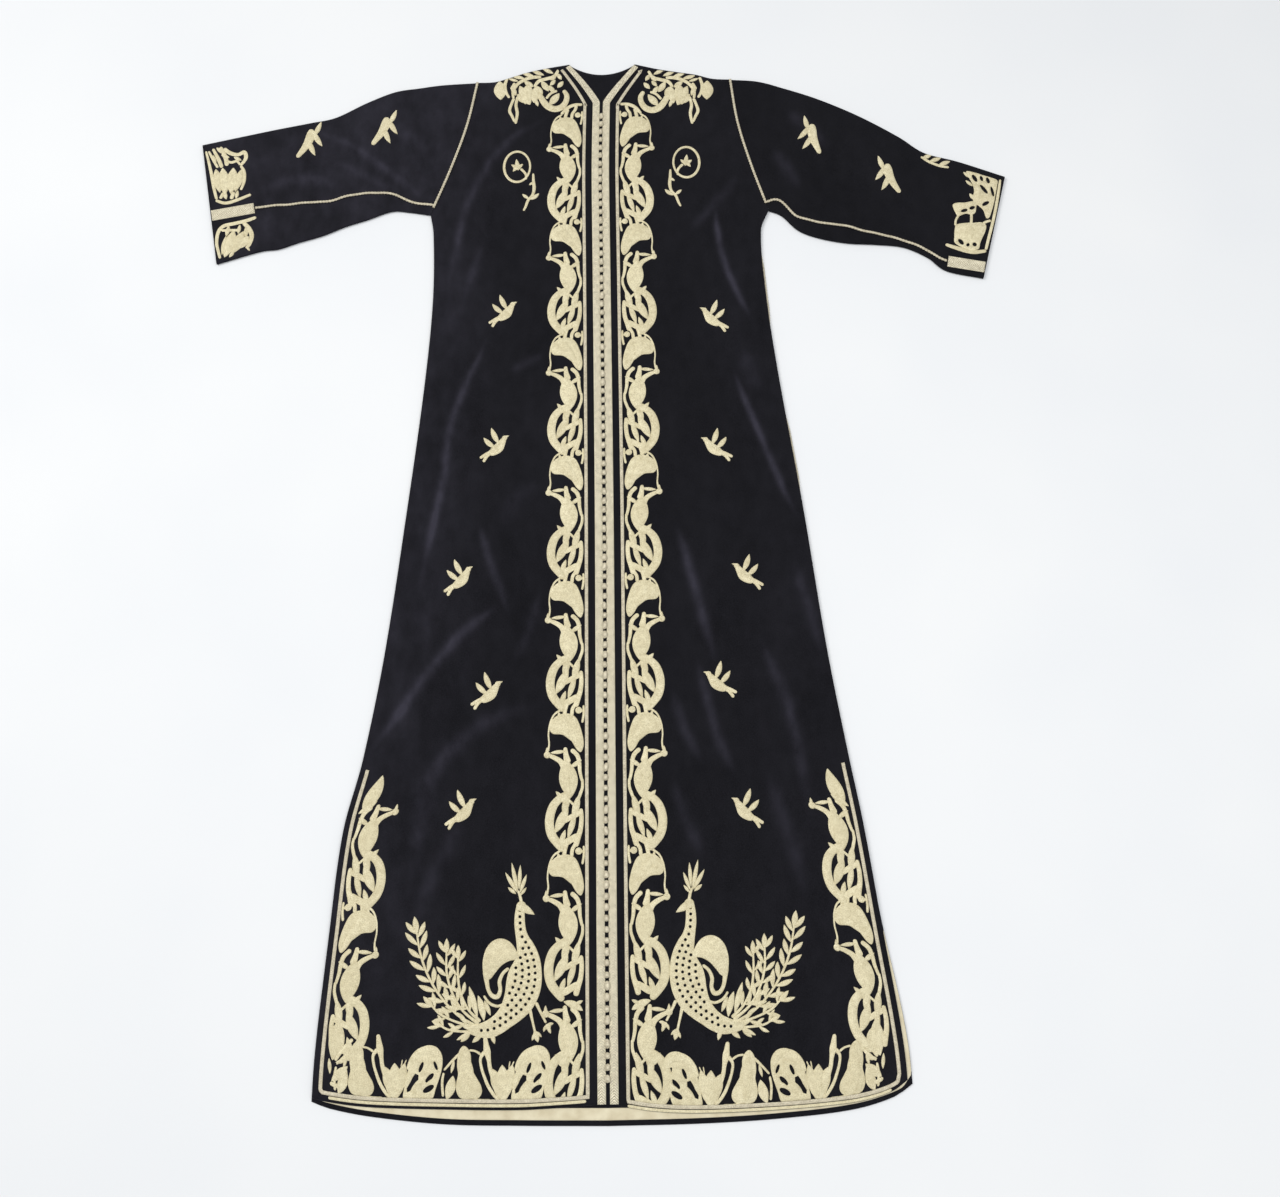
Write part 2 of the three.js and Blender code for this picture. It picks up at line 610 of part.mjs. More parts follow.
// Places where the side cord shows past the edge of the front: middle, half length and how far
const SIDE_CORD_SHOWS = [
  { side: 'right', y: 1090, reach: 75, out: 3.4 },
  { side: 'right', y: 838, reach: 75, out: 3.2 },
];
function sideCord(side) {
  const path = [];
  for (let step = 0; step <= SIDE_CORD.steps; step += 1) {
    const y = mix(SIDE_CORD.fromY, SIDE_CORD.toY, step / SIDE_CORD.steps);
    let out = -SIDE_CORD.inset;
    for (const show of SIDE_CORD_SHOWS) {
      if (show.side === side) out += show.out * (1 - smoothStep(0.4, 1, Math.abs(y - show.y) / show.reach));
    }
    path.push({ x: DIRECTION[side] * (halfWidth(side, y) + out), y, z: 0 });
  }
  const profile = () => cordProfile(SIDE_CORD.width, SIDE_CORD.height);
  return trim(`side_cord_${side}`, path, profile, goldCord);
}

// Tape along the inside of the back hem, turning up beside the right slit
function hemFacing() {
  const path = [];
  const rise = FACING.fromHem + FACING.width / 2;
  const z = VELVET + SEAM_GAP;
  const add = (side, across) => {
    const { x, y } = cutPoint(BACK_CUT, side, across, 0);
    path.push({ x, y: y + rise, z });
  };
  for (const across of [FACING.leftEnd, ...BACK_COLUMNS.slice(1, -1).reverse()]) add('left', across);
  for (const across of BACK_COLUMNS.slice(0, -1)) add('right', across);
  const slitX = (y) => halfWidth('right', y) - backDrawnIn('right', y) - FACING.width / 2 - 0.5;
  const cornerY = cutPoint(BACK_CUT, 'right', 1, 0).y + rise;
  for (const share of [0, 0.25, 0.5, 0.75, 1]) {
    const y = mix(cornerY, FACING.topY, share);
    path.push({ x: slitX(y), y, z });
  }
  return trim('hem_facing', path, () => flatProfile(FACING.width, FACING.thickness), creamTape);
}

const kaftan = new THREE.Group();
kaftan.add(backPanel(), hemFacing(), closureKnots());
for (const [side, sections] of [['left', LEFT_SLEEVE], ['right', RIGHT_SLEEVE]]) {
  kaftan.add(frontPanel(side), sleeve(side, sections));
  kaftan.add(frontBraid(side), frontEdging(side));
  kaftan.add(armholeCord(side), sleeveCord(side, sections), cuffBand(side, sections), sideCord(side));
}

export default kaftan;
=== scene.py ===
import math

import bpy
import numpy as np
from mathutils import Euler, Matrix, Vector
from mathutils.bvhtree import BVHTree
from mathutils.geometry import tessellate_polygon


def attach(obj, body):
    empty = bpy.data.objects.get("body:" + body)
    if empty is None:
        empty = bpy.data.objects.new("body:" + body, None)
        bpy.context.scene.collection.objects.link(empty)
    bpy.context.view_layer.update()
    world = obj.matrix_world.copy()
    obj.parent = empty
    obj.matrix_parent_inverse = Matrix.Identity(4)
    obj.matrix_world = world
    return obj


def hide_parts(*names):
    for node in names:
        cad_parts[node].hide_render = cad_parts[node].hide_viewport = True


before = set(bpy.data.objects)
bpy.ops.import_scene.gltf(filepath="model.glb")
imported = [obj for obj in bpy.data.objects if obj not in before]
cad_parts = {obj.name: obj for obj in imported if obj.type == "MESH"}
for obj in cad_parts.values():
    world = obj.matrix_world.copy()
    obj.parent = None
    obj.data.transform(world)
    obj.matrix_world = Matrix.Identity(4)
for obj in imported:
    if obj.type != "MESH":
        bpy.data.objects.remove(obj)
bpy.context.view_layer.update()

# A velvet kaftan laid flat, front up. Places are millimetres of the garment: x from the closing line,
# y up from the middle of the front hem, z up from the surface it lies on.
# MIDDLE is where the frame's origin lies.
MIDDLE = (4.5, 723.0)
SIDES = {"left": -1, "right": 1}
COLUMN = {"left": 1, "right": 2}

VELVET = 2.0
SEAM_GAP = 0.3
LAYER_PITCH = VELVET + SEAM_GAP
FLAT_HEIGHT = LAYER_PITCH + VELVET

V_POINT_Y = 1404
NECK_POINT_Y = 1471
BACK_NECK_Y = 1454
NECK_SHARE = 0.26
NECK_BOW = 0.85
SHOULDER_Y = 1441
UNDERARM_Y = 1217
SLIT_TOP_Y = 408

# The front lies this much higher by its hem, and the lift fades out between these shares of its length
LOOSE_LIFT = 0.9
LOOSE_FADES = (0.2, 0.3)
HEM_FADES_UP = 0.6

# y, left half width, right half width, wander of the closing line
BODY = np.array([
    (-30, 357, 366, 1.5), (60, 356, 364, 1.5), (200, 346, 347, 1.6), (330, 334, 331, 1.9),
    (420, 313, 317, 2.1), (560, 290, 297, 2.5), (760, 267, 275, 2.9), (950, 248, 251, 2.6),
    (1080, 240, 238, 2.2), (1185, 242, 235, 1.8), (1217, 247, 247, 1.6),
], float)
ARMHOLE = np.array([
    (1217, 247, 247, 1.6), (1290, 220, 225, 1.6), (1365, 197, 207, 3.0), (1441, 182, 198, 5.0),
], float)

# share of the way across, height of the edge on the left, on the right
FRONT_HEM = np.array([
    (0, 0, 0), (0.15, -3, -9), (0.3, -5, -12), (0.55, -3, -10),
    (0.76, 0, -5), (0.86, 3, 0), (0.95, 8, 10), (1, 12, 22),
], float)
BACK_HEM = np.array([
    (0, -25, -25), (0.3, -23, -24), (0.55, -20, -20), (0.8, -10, -11), (0.94, 0, 3), (1, 8, 17),
], float)
SHOULDER = np.array([
    (0.26, 1471, 1470), (0.44, 1465, 1461), (0.6, 1458, 1455), (0.74, 1449, 1450),
    (0.86, 1442, 1443), (1, 1441, 1441),
], float)

# top fold x and y, low fold x and y, and the seam's share of the way between them
LEFT_SLEEVE = np.array([
    (-182, 1441, -247, 1217, 0.935), (-234, 1438, -276, 1222, 0.93), (-270, 1433, -304, 1224, 0.875),
    (-306, 1427, -339, 1211, 0.8), (-347, 1409, -371, 1200, 0.762), (-393, 1384, -403, 1186, 0.724),
    (-432, 1375, -438, 1175, 0.682), (-480, 1365, -466, 1165, 0.65), (-524, 1355, -494, 1161, 0.636),
    (-589, 1340, -554, 1142, 0.607),
], float)
RIGHT_SLEEVE = np.array([
    (198, 1441, 247, 1217, 0.945), (240, 1437, 266, 1208, 0.895), (280, 1424, 289, 1184, 0.91),
    (322, 1408, 318, 1171, 0.895), (364, 1388, 359, 1162, 0.885), (403, 1366, 401, 1159, 0.92),
    (447, 1337, 440, 1154, 0.945), (482, 1310, 474, 1137, 0.945), (532, 1294, 500, 1115, 0.92),
    (598, 1268, 552, 1102, 0.9),
], float)
SLEEVES = {"left": LEFT_SLEEVE, "right": RIGHT_SLEEVE}
CUFF_BAND_SECTION = 8
PLAIN_FROM_SECTION = 7

# Soft ridges pressed into each piece: points of the ridge, half width, height
CREASES = {
    "right": [
        ([(166, 1216), (196, 1070)], 20, 3.2),
        ([(196, 1070), (202, 915)], 18, 2.6),
        ([(202, 915), (250, 790)], 20, 3.0),
        ([(110, 690), (190, 520)], 26, 2.2),
        ([(150, 330), (236, 150)], 28, 2.4),
    ],
    "left": [
        ([(-150, 1240), (-196, 1120)], 20, 2.0),
        ([(-180, 960), (-214, 800)], 20, 3.0),
        ([(-165, 640), (-250, 500)], 24, 3.0),
        ([(-120, 400), (-150, 250)], 24, 2.0),
    ],
    "leftSleeve": [
        ([(-262, 1300), (-360, 1360)], 22, 2.6),
        ([(-380, 1300), (-470, 1320)], 22, 2.0),
    ],
    "rightSleeve": [
        ([(262, 1290), (340, 1330)], 22, 2.6),
        ([(370, 1270), (440, 1240)], 22, 2.2),
    ],
}
# Narrower pressed lines: points, half width, height, and how much lighter their painted sheen is
FOLD_LINES = {
    "right": [
        ([(169, 1221), (172, 1175), (185, 1114), (218, 1036)], 4.4, 1.5, 1.2),
        ([(187, 962), (204, 909), (228, 844), (251, 779), (268, 745)], 4.4, 1.5, 1.2),
        ([(199, 996), (223, 928)], 12, 0.5, 0.3),
        ([(102, 735), (119, 665), (134, 604), (148, 545)], 6, 0.9, 0.8),
        ([(124, 546), (139, 478), (154, 428), (171, 392)], 6, 0.8, 0.6),
        ([(88, 510), (106, 454), (127, 410)], 6, 0.5, 0.5),
        ([(208, 575), (238, 497), (251, 435), (262, 345)], 7, 1.0, 0.6),
        ([(212, 395), (237, 307), (254, 240)], 9, 0.6, 0.4),
        ([(88, 391), (103, 341), (125, 291)], 7, 0.5, 0.4),
        ([(205, 1278), (171, 1231), (128, 1181)], 7, 0.5, 0.4),
        ([(258, 680), (278, 611), (289, 550)], 7, 0.5, 0.4),
    ],
    "left": [
        ([(-77, 1378), (-132, 1341), (-173, 1284), (-199, 1211), (-219, 1100)], 6, 0.9, 0.6),
        ([(-160, 1020), (-206, 897), (-217, 814), (-228, 751), (-246, 655)], 5.5, 1.5, 1.1),
        ([(-168, 740), (-146, 669), (-124, 612)], 5, 0.9, 0.8),
        ([(-139, 626), (-190, 584), (-238, 525), (-277, 468), (-306, 430)], 6.5, 1.4, 1.1),
        ([(-84, 492), (-155, 466), (-203, 426), (-230, 378), (-248, 250)], 9, 0.9, 0.55),
        ([(-84, 644), (-99, 591), (-118, 543)], 6, 0.5, 0.4),
        ([(-80, 992), (-132, 965)], 6, 0.5, 0.4),
        ([(-170, 1165), (-198, 1070)], 6, 0.5, 0.4),
        ([(-83, 803), (-126, 767), (-130, 731)], 12, 0.4, 0.3),
        ([(-180, 345), (-221, 268), (-240, 205)], 9, 0.5, 0.3),
    ],
    "leftSleeve": [
        ([(-428, 1362), (-367, 1334), (-301, 1282), (-252, 1238)], 6, 1.2, 0.5),
        ([(-500, 1264), (-440, 1280), (-381, 1266)], 9, 0.9, 0.5),
        ([(-316, 1372), (-251, 1325)], 9, 0.8, 0.35),
        ([(-384, 1304), (-292, 1254)], 7, 0.8, 0.4),
    ],
    "rightSleeve": [
        ([(257, 1320), (296, 1250)], 9, 0.9, 0.4),
        ([(282, 1385), (342, 1316)], 10, 0.9, 0.4),
    ],
}
# Painted sheen: how much lighter each piece is painted as it lies, and how much more a front is painted near
# its side
PAINTED_SHEEN = {"left": 0.06, "right": 0.03, "leftSleeve": 0.42, "rightSleeve": 0.0, "back": 0.05}
PAINTED_SHEEN_AT_SIDE = {"left": 0.26, "right": 0.06}
FOLD_STEP = 15.0
CREASE_BORDER = {"edge": 36, "ramp": 40, "seam": 14, "sleeve_ramp": 26}


def mix(a, b, share):
    return a + (b - a) * share


def smooth_step(low, high, value):
    share = np.clip((value - low) / (high - low), 0, 1)
    return share * share * (3 - 2 * share)


def read(table, column, place):
    """One column of a table, read smoothly at places along its first column."""
    keys, values = table[:, 0], table[:, column]
    place = np.clip(place, keys[0], keys[-1])
    row = np.clip(np.searchsorted(keys, place) - 1, 0, len(keys) - 2)
    before = np.maximum(row - 1, 0)
    after = np.minimum(row + 2, len(keys) - 1)
    span = keys[row + 1] - keys[row]
    share = (place - keys[row]) / span
    slope_a = (values[row + 1] - values[before]) / (keys[row + 1] - keys[before]) * span
    slope_b = (values[after] - values[row]) / (keys[after] - keys[row]) * span
    square, cube = share**2, share**3
    return (
        (2 * cube - 3 * square + 1) * values[row] + (cube - 2 * square + share) * slope_a
        + (3 * square - 2 * cube) * values[row + 1] + (cube - square) * slope_b
    )


def read_body(column, y):
    return np.where(y < UNDERARM_Y, read(BODY, column, y), read(ARMHOLE, column, y))


def half_width(side, y):
    return read_body(COLUMN[side], y)


def width_at(side, y):
    """Half width at one height."""
    return float(half_width(side, np.array([y], float))[0])


def closing_line(y):
    return read_body(3, y)


def front_neck(share):
    return mix(V_POINT_Y, NECK_POINT_Y, share**NECK_BOW)


def back_neck(share):
    return mix(BACK_NECK_Y, NECK_POINT_Y, share**2)


def front_drawn_in(side, y):
    """The front stops half a seam short of the garment's side."""
    return SEAM_GAP / 2


def back_drawn_in(side, y):
    """The back rolls under along the sewn sides and shows past the front at the slits."""
    sewn = smooth_step(SLIT_TOP_Y - 60, SLIT_TOP_Y, y)
    shows_past = -1 if side == "left" else -6
    loose = shows_past * (1 - smooth_step(60, 260, y))
    underarm = smooth_step(UNDERARM_Y - 40, UNDERARM_Y - 1, y)
    return mix(mix(loose, 4.6, sewn), SEAM_GAP / 2, underarm)


FRONT_CUT = (FRONT_HEM, front_neck, front_drawn_in, SEAM_GAP / 2)
BACK_CUT = (BACK_HEM, back_neck, back_drawn_in, 0)


def cut_point(cut, side, across, up):
    """Points of a cut piece: across from the closing line to the side, up from hem to shoulder."""
    hem, neck, drawn_in, from_closing = cut
    low = read(hem, COLUMN[side], across)
    at_neck = neck(np.clip(across / NECK_SHARE, 0, 1))
    high = np.where(across < NECK_SHARE, at_neck, read(SHOULDER, COLUMN[side], across))
    y = high * up + low * (1 - smooth_step(0, HEM_FADES_UP, up))
    inner = closing_line(y) + SIDES[side] * from_closing
    outer = SIDES[side] * (half_width(side, y) - drawn_in(side, y))
    return mix(inner, outer, across), y


def cut_height(cut, side, across, up):
    """Height of one point of a cut piece."""
    return cut_point(cut, side, np.array([across]), np.array([up]))[1][0]


def nearest_on(x, y, points):
    """How far places are from a run of straight lines, and the share of the way along it."""
    points = np.asarray(points, float)
    run = path_length(points)
    nearest, along = np.full(np.shape(x), 1e9), np.zeros(np.shape(x))
    for start, (x1, y1), (x2, y2) in zip(run, points, points[1:]):
        step = math.hypot(x2 - x1, y2 - y1)
        ahead = ((x - x1) * (x2 - x1) + (y - y1) * (y2 - y1)) / step**2
        ahead = np.clip(ahead, 0, 1)
        away = np.hypot(x - x1 - (x2 - x1) * ahead, y - y1 - (y2 - y1) * ahead)
        along = np.where(away < nearest, (start + step * ahead) / run[-1], along)
        nearest = np.minimum(nearest, away)
    return nearest, along


def ridge(x, y, points, width, height):
    """Height that a soft ridge along straight runs adds at places of the cloth."""
    return height * np.exp(-((nearest_on(x, y, points)[0] / width) ** 2))


def fold_line(x, y, points, width, height):
    """A pressed line along a smooth curve, fading out and narrower to both its ends."""
    nearest, along = nearest_on(x, y, smooth_curve(points, FOLD_STEP))
    fade = smooth_step(-0.05, 0.25, along) * (1 - smooth_step(0.7, 1.05, along))
    return height * fade * np.exp(-((nearest / (width * (0.5 + 0.5 * fade))) ** 2))


def crease_height(piece, x, y):
    height = np.zeros(np.shape(x))
    for points, width, high in CREASES.get(piece, ()):
        height = np.maximum(height, ridge(x, y, points, width, high))
    for points, width, high, _ in FOLD_LINES.get(piece, ()):
        height = height + fold_line(x, y, points, width, high)
    return height


def painted_sheen_share(piece, x, y):
    """Painted sheen: each piece's own share, and lighter along its folds and by its side."""
    light = np.zeros(np.shape(x))
    for points, width, _, lighter in FOLD_LINES.get(piece, ()):
        light = np.maximum(light, fold_line(x, y, points, width * 1.05, lighter))
    if piece in PAINTED_SHEEN_AT_SIDE:
        light = light + PAINTED_SHEEN_AT_SIDE[piece] * smooth_step(0.5, 1, np.abs(x) / half_width(piece, y))
    return PAINTED_SHEEN[piece] + light


def loose_lift(y):
    low, high = LOOSE_FADES
    return LOOSE_LIFT * (1 - smooth_step(low * SHOULDER_Y, high * SHOULDER_Y, y))


def front_height(side, x, y):
    """Underside of a front piece."""
    edge, ramp = CREASE_BORDER["edge"], CREASE_BORDER["ramp"]
    clear = 1
    for away in (np.abs(x - closing_line(y)), half_width(side, y) - np.abs(x), y, NECK_POINT_Y - y):
        clear = clear * smooth_step(edge, edge + ramp, away)
    return LAYER_PITCH + loose_lift(y) + clear * crease_height(side, x, y)


# Meshes


def mesh_object(name, points, faces, material, values):
    """A smooth mesh piece from garment millimetres, with named values stored at its points."""
    points = (np.asarray(points, float) - (*MIDDLE, 0)) / 1000
    mesh = bpy.data.meshes.new(name)
    mesh.from_pydata(points.tolist(), [], faces)
    for key, numbers in values.items():
        stored = mesh.attributes.new(key, "FLOAT", "POINT")
        stored.data.foreach_set("value", np.asarray(numbers, np.float32))
    mesh.polygons.foreach_set("use_smooth", [True] * len(mesh.polygons))
    mesh.materials.append(material)
    mesh.update()
    piece = bpy.data.objects.new(name, mesh)
    bpy.context.scene.collection.objects.link(piece)
    return piece


def grid_faces(rows, columns, first=0, closed=False, turned=False):
    """Quads between the points of a grid, closed round each row if asked."""
    faces = []
    for row in range(rows - 1):
        for column in range(columns if closed else columns - 1):
            beside = (column + 1) % columns
            quad = (row * columns + column, row * columns + beside,
                    (row + 1) * columns + beside, (row + 1) * columns + column)
            faces.append([first + corner for corner in (reversed(quad) if turned else quad)])
    return faces


# How far the cloth's faces stop short of its rounded edge
EDGE_ROUND = 0.7


def cloth_wall(name, x, y, z, painted_sheen, material, turned):
    """Cloth with a rounded edge all round, from grids of places, heights of its underside and painted sheen.
    """
    rows, columns = x.shape
    top = np.stack([x, y, z + VELVET], -1).reshape(-1, 3)
    bottom = np.stack([x, y, z], -1).reshape(-1, 3)
    count = rows * columns
    rim = [(0, c) for c in range(columns)] + [(r, columns - 1) for r in range(1, rows)]
    rim += [(rows - 1, c) for c in range(columns - 2, -1, -1)] + [(r, 0) for r in range(rows - 2, 0, -1)]
    rim = np.array([r * columns + c for r, c in rim])
    flat = top[rim, :2]
    along = np.roll(flat, -1, 0) - np.roll(flat, 1, 0)
    along /= np.linalg.norm(along, axis=1, keepdims=True)
    out = np.stack([along[:, 1], -along[:, 0]], -1) * (-1 if turned else 1)
    middle = top[rim] - (0, 0, VELVET / 2)
    top[rim, :2] -= out * EDGE_ROUND
    bottom[rim, :2] -= out * EDGE_ROUND
    points = np.concatenate([top, bottom, middle])
    faces = grid_faces(rows, columns, 0, turned=turned)
    faces += grid_faces(rows, columns, count, turned=not turned)
    for place in range(len(rim)):
        beside = (place + 1) % len(rim)
        a, b = int(rim[place]), int(rim[beside])
        c, d = 2 * count + place, 2 * count + beside
        upper, lower = [a, c, d, b], [c, a + count, b + count, d]
        faces += [upper[::-1], lower[::-1]] if turned else [upper, lower]
    # Painted sheen stored at every point: top, bottom and rounded edge
    values = {"painted_sheen": np.concatenate([painted_sheen.ravel(), painted_sheen.ravel(), painted_sheen.ravel()[rim]])}
    return mesh_object(name, points, faces, material, values)


def smooth_curve(points, step, closed=False):
    """Points about a step apart on a smooth curve through the given ones."""
    points = np.asarray(points, float)
    count = len(points)
    spans = count if closed else count - 1
    curve = []
    for place in range(spans):
        a, b = points[place], points[(place + 1) % count]
        before = points[(place - 1) % count] if closed or place > 0 else 2 * a - b
        after = points[(place + 2) % count] if closed or place + 2 < count else 2 * b - a
        steps = max(2, math.ceil(np.linalg.norm(b - a) / step))
        t = np.arange(steps)[:, None] / steps
        curve.append(0.5 * (2 * a + (b - before) * t + (2 * before - 5 * a + 4 * b - after) * t**2
                            + (3 * a - before - 3 * b + after) * t**3))
    if not closed:
        curve.append(points[-1:])
    return np.concatenate(curve)


def across_path(path):
    """Unit directions to the right of a path, stretched at its corners."""
    steps = np.diff(path[:, :2], axis=0)
    steps /= np.linalg.norm(steps, axis=1, keepdims=True)
    into = np.vstack([steps[:1], steps])
    out = np.vstack([steps, steps[-1:]])
    along = into + out
    along /= np.linalg.norm(along, axis=1, keepdims=True)
    stretch = np.clip(1 / np.sum(along * into, axis=1, keepdims=True), 1, 1.6)
    return np.stack([along[:, 1], -along[:, 0]], -1) * stretch


def path_length(path):
    return np.concatenate([[0], np.cumsum(np.linalg.norm(np.diff(path, axis=0), axis=1))])


def trim_piece(name, solid, path, profile, material):
    """A trim along a path, in its solid's place. profile gives each point's offsets aside and heights."""
    across = across_path(path)
    length = path_length(path)
    aside, height = profile(length)
    points = np.empty((*aside.shape, 3))
    points[..., :2] = path[:, None, :2] + across[:, None] * aside[..., None]
    points[..., 2] = path[:, None, 2] + height
    rows, columns = aside.shape
    faces = grid_faces(rows, columns, closed=True, turned=True)
    faces += [list(range(columns)), [(rows - 1) * columns + c for c in reversed(range(columns))]]
    values = {"along": np.repeat(length, columns), "across": aside.ravel()}
    piece = mesh_object(name, points.reshape(-1, 3), faces, material, values)
    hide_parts(solid)
    return piece


def oval_profile(width, thickness, points=14, power=0.55):
    """Flat-bottomed section with rounded shoulders."""
    turn = np.linspace(0, 2 * np.pi, points, endpoint=False)

    def profile(length):
        c, s = np.cos(turn), np.sin(turn)
        aside = np.sign(c) * np.abs(c) ** power * 0.5
        height = 0.5 + 0.5 * np.sign(s) * np.abs(s) ** power
        widths = width(length) if callable(width) else np.full(len(length), width)
        return widths[:, None] * aside[None], np.repeat(height[None] * thickness, len(length), 0)

    return profile


def cord_profile(width, height, twist, points=12):
    """Two plies twisted together: a section with two lobes that turns along the cord."""
    turn = np.linspace(0, 2 * np.pi, points, endpoint=False)

    def profile(length):
        phase = length[:, None] / twist * np.pi
        swell = 0.86 + 0.2 * np.cos(2 * (turn[None] - phase))
        return np.cos(turn) * swell * width / 2, (0.5 + 0.5 * np.sin(turn) * swell) * height

    return profile


# Colours, and surface effects that several materials share

COLOURS = {
    "velvet_deep": (0.0018, 0.0018, 0.0024, 1), "velvet_pile": (0.0056, 0.0054, 0.0074, 1),
    # The lit velvet colour below is painted sheen laid on the pile
    "velvet_fleck": (0.0098, 0.0096, 0.0124, 1), "velvet_painted_sheen": (0.032, 0.03, 0.042, 1),
    # The bright and dark golds are painted highlight on thread crowns and painted shade between threads; the
    # dark stitch and cord golds also tint tarnished shapes
    "stitch_bright": (0.97, 0.89, 0.62, 1), "stitch_dark": (0.46, 0.38, 0.2, 1),
    "cord_bright": (0.78, 0.71, 0.53, 1), "cord_dark": (0.27, 0.22, 0.14, 1),
    "braid_bright": (0.98, 0.9, 0.68, 1), "braid_dark": (0.36, 0.31, 0.2, 1),
    "tape_soiled": (0.58, 0.5, 0.33, 1), "tape_clean": (0.74, 0.67, 0.48, 1),
    "sheet_grey": (0.75, 0.76, 0.77, 1), "sheet_pale": (0.78, 0.785, 0.785, 1),
}


def new_group(name, inputs, outputs):
    group = bpy.data.node_groups.new(name, "ShaderNodeTree")
    for label, kind, default in inputs:
        socket = group.interface.new_socket(label, in_out="INPUT", socket_type=kind)
        socket.default_value = default
    for label, kind in outputs:
        group.interface.new_socket(label, in_out="OUTPUT", socket_type=kind)
    return group, group.nodes.new("NodeGroupInput"), group.nodes.new("NodeGroupOutput")


def math_node(tree, operation, a, b=0.0):
    node = tree.nodes.new("ShaderNodeMath")
    node.operation = operation
    for socket, value in zip(node.inputs, (a, b)):
        if isinstance(value, (int, float)):
            socket.default_value = value
        else:
            tree.links.new(value, socket)
    return node.outputs[0]


def times(tree, a, b):
    return math_node(tree, "MULTIPLY", a, b)


def plus(tree, a, b):
    return math_node(tree, "ADD", a, b)


def noise_node(tree, scale, detail, stretch=(1, 1, 1)):
    """Noise over the object's own places, in cycles per metre."""
    place = tree.nodes.new("ShaderNodeTexCoord").outputs["Object"]
    spread = tree.nodes.new("ShaderNodeMapping")
    spread.inputs["Scale"].default_value = stretch
    tree.links.new(place, spread.inputs["Vector"])
    noise = tree.nodes.new("ShaderNodeTexNoise")
    noise.inputs["Scale"].default_value = scale
    noise.inputs["Detail"].default_value = detail
    tree.links.new(spread.outputs[0], noise.inputs["Vector"])
    return noise.outputs["Fac"]


def ramp_node(tree, value, low, high):
    node = tree.nodes.new("ShaderNodeMapRange")
    tree.links.new(value, node.inputs["Value"])
    node.inputs["From Min"].default_value = low
    node.inputs["From Max"].default_value = high
    return node.outputs["Result"]


def clouds(tree, scale, detail, low, high, stretch=(1, 1, 1)):
    """Noise stretched so that its values from low to high fill 0 to 1."""
    return ramp_node(tree, noise_node(tree, scale, detail, stretch), low, high)


def mix_colour(tree, share, a, b):
    node = tree.nodes.new("ShaderNodeMix")
    node.data_type = "RGBA"
    for socket, value in ((node.inputs[0], share), (node.inputs[6], a), (node.inputs[7], b)):
        if isinstance(value, bpy.types.NodeSocket):
            tree.links.new(value, socket)
        else:
            socket.default_value = value
    return node.outputs[2]


def stored_value(tree, key):
    node = tree.nodes.new("ShaderNodeAttribute")
    node.attribute_name = key
    return node.outputs["Fac"]


def make_thread_group():
    """Threads laid side by side: painted highlight on their crowns, painted shade in the gaps between them,
    and lighter and darker spots at random along them.
    """
    group, given, out = new_group(
        "laid threads",
        [("Across Threads", "NodeSocketFloat", 0.0), ("Pitch", "NodeSocketFloat", 0.8),
         ("Painted Highlight Colour", "NodeSocketColor", COLOURS["cord_bright"]),
         ("Painted Shade And Wear Colour", "NodeSocketColor", COLOURS["cord_dark"]), ("Speckle", "NodeSocketFloat", 0.5)],
        [("Colour", "NodeSocketColor"), ("Height", "NodeSocketFloat"), ("Roughness", "NodeSocketFloat")],
    )
    waver = times(group, noise_node(group, 260.0, 2.0), 0.7)
    place = plus(group, given.outputs["Across Threads"], waver)
    turns = times(group, math_node(group, "DIVIDE", place, given.outputs["Pitch"]), math.pi)
    crown = math_node(group, "ABSOLUTE", math_node(group, "SINE", turns))
    speckle = clouds(group, 820.0, 3.0, 0.36, 0.64)
    broad = clouds(group, 150.0, 3.0, 0.32, 0.68)
    worn = times(group, math_node(group, "SUBTRACT", 1.0, speckle), given.outputs["Speckle"])
    light = math_node(group, "SUBTRACT", math_node(group, "POWER", crown, 0.45), worn)
    light = plus(group, light, times(group, broad, 0.3))
    light = ramp_node(group, light, 0.0, 1.2)
    # Colour runs from painted shade in the gaps and worn spots to painted highlight on the crowns
    colour = mix_colour(group, light, given.outputs["Painted Shade And Wear Colour"], given.outputs["Painted Highlight Colour"])
    group.links.new(colour, out.inputs["Colour"])
    group.links.new(crown, out.inputs["Height"])
    group.links.new(plus(group, times(group, speckle, -0.2), 0.62), out.inputs["Roughness"])
    return group


def new_material(name, **sockets):
    material = bpy.data.materials.new(name)
    material.use_nodes = True
    shader = material.node_tree.nodes["Principled BSDF"]
    for label, value in sockets.items():
        shader.inputs[label.replace("_", " ")].default_value = value
    return material, material.node_tree, shader


def add_bump(tree, shader, height, strength, distance):
    bump = tree.nodes.new("ShaderNodeBump")
    bump.inputs["Strength"].default_value = strength
    bump.inputs["Distance"].default_value = distance
    tree.links.new(height, bump.inputs["Height"])
    tree.links.new(bump.outputs["Normal"], shader.inputs["Normal"])


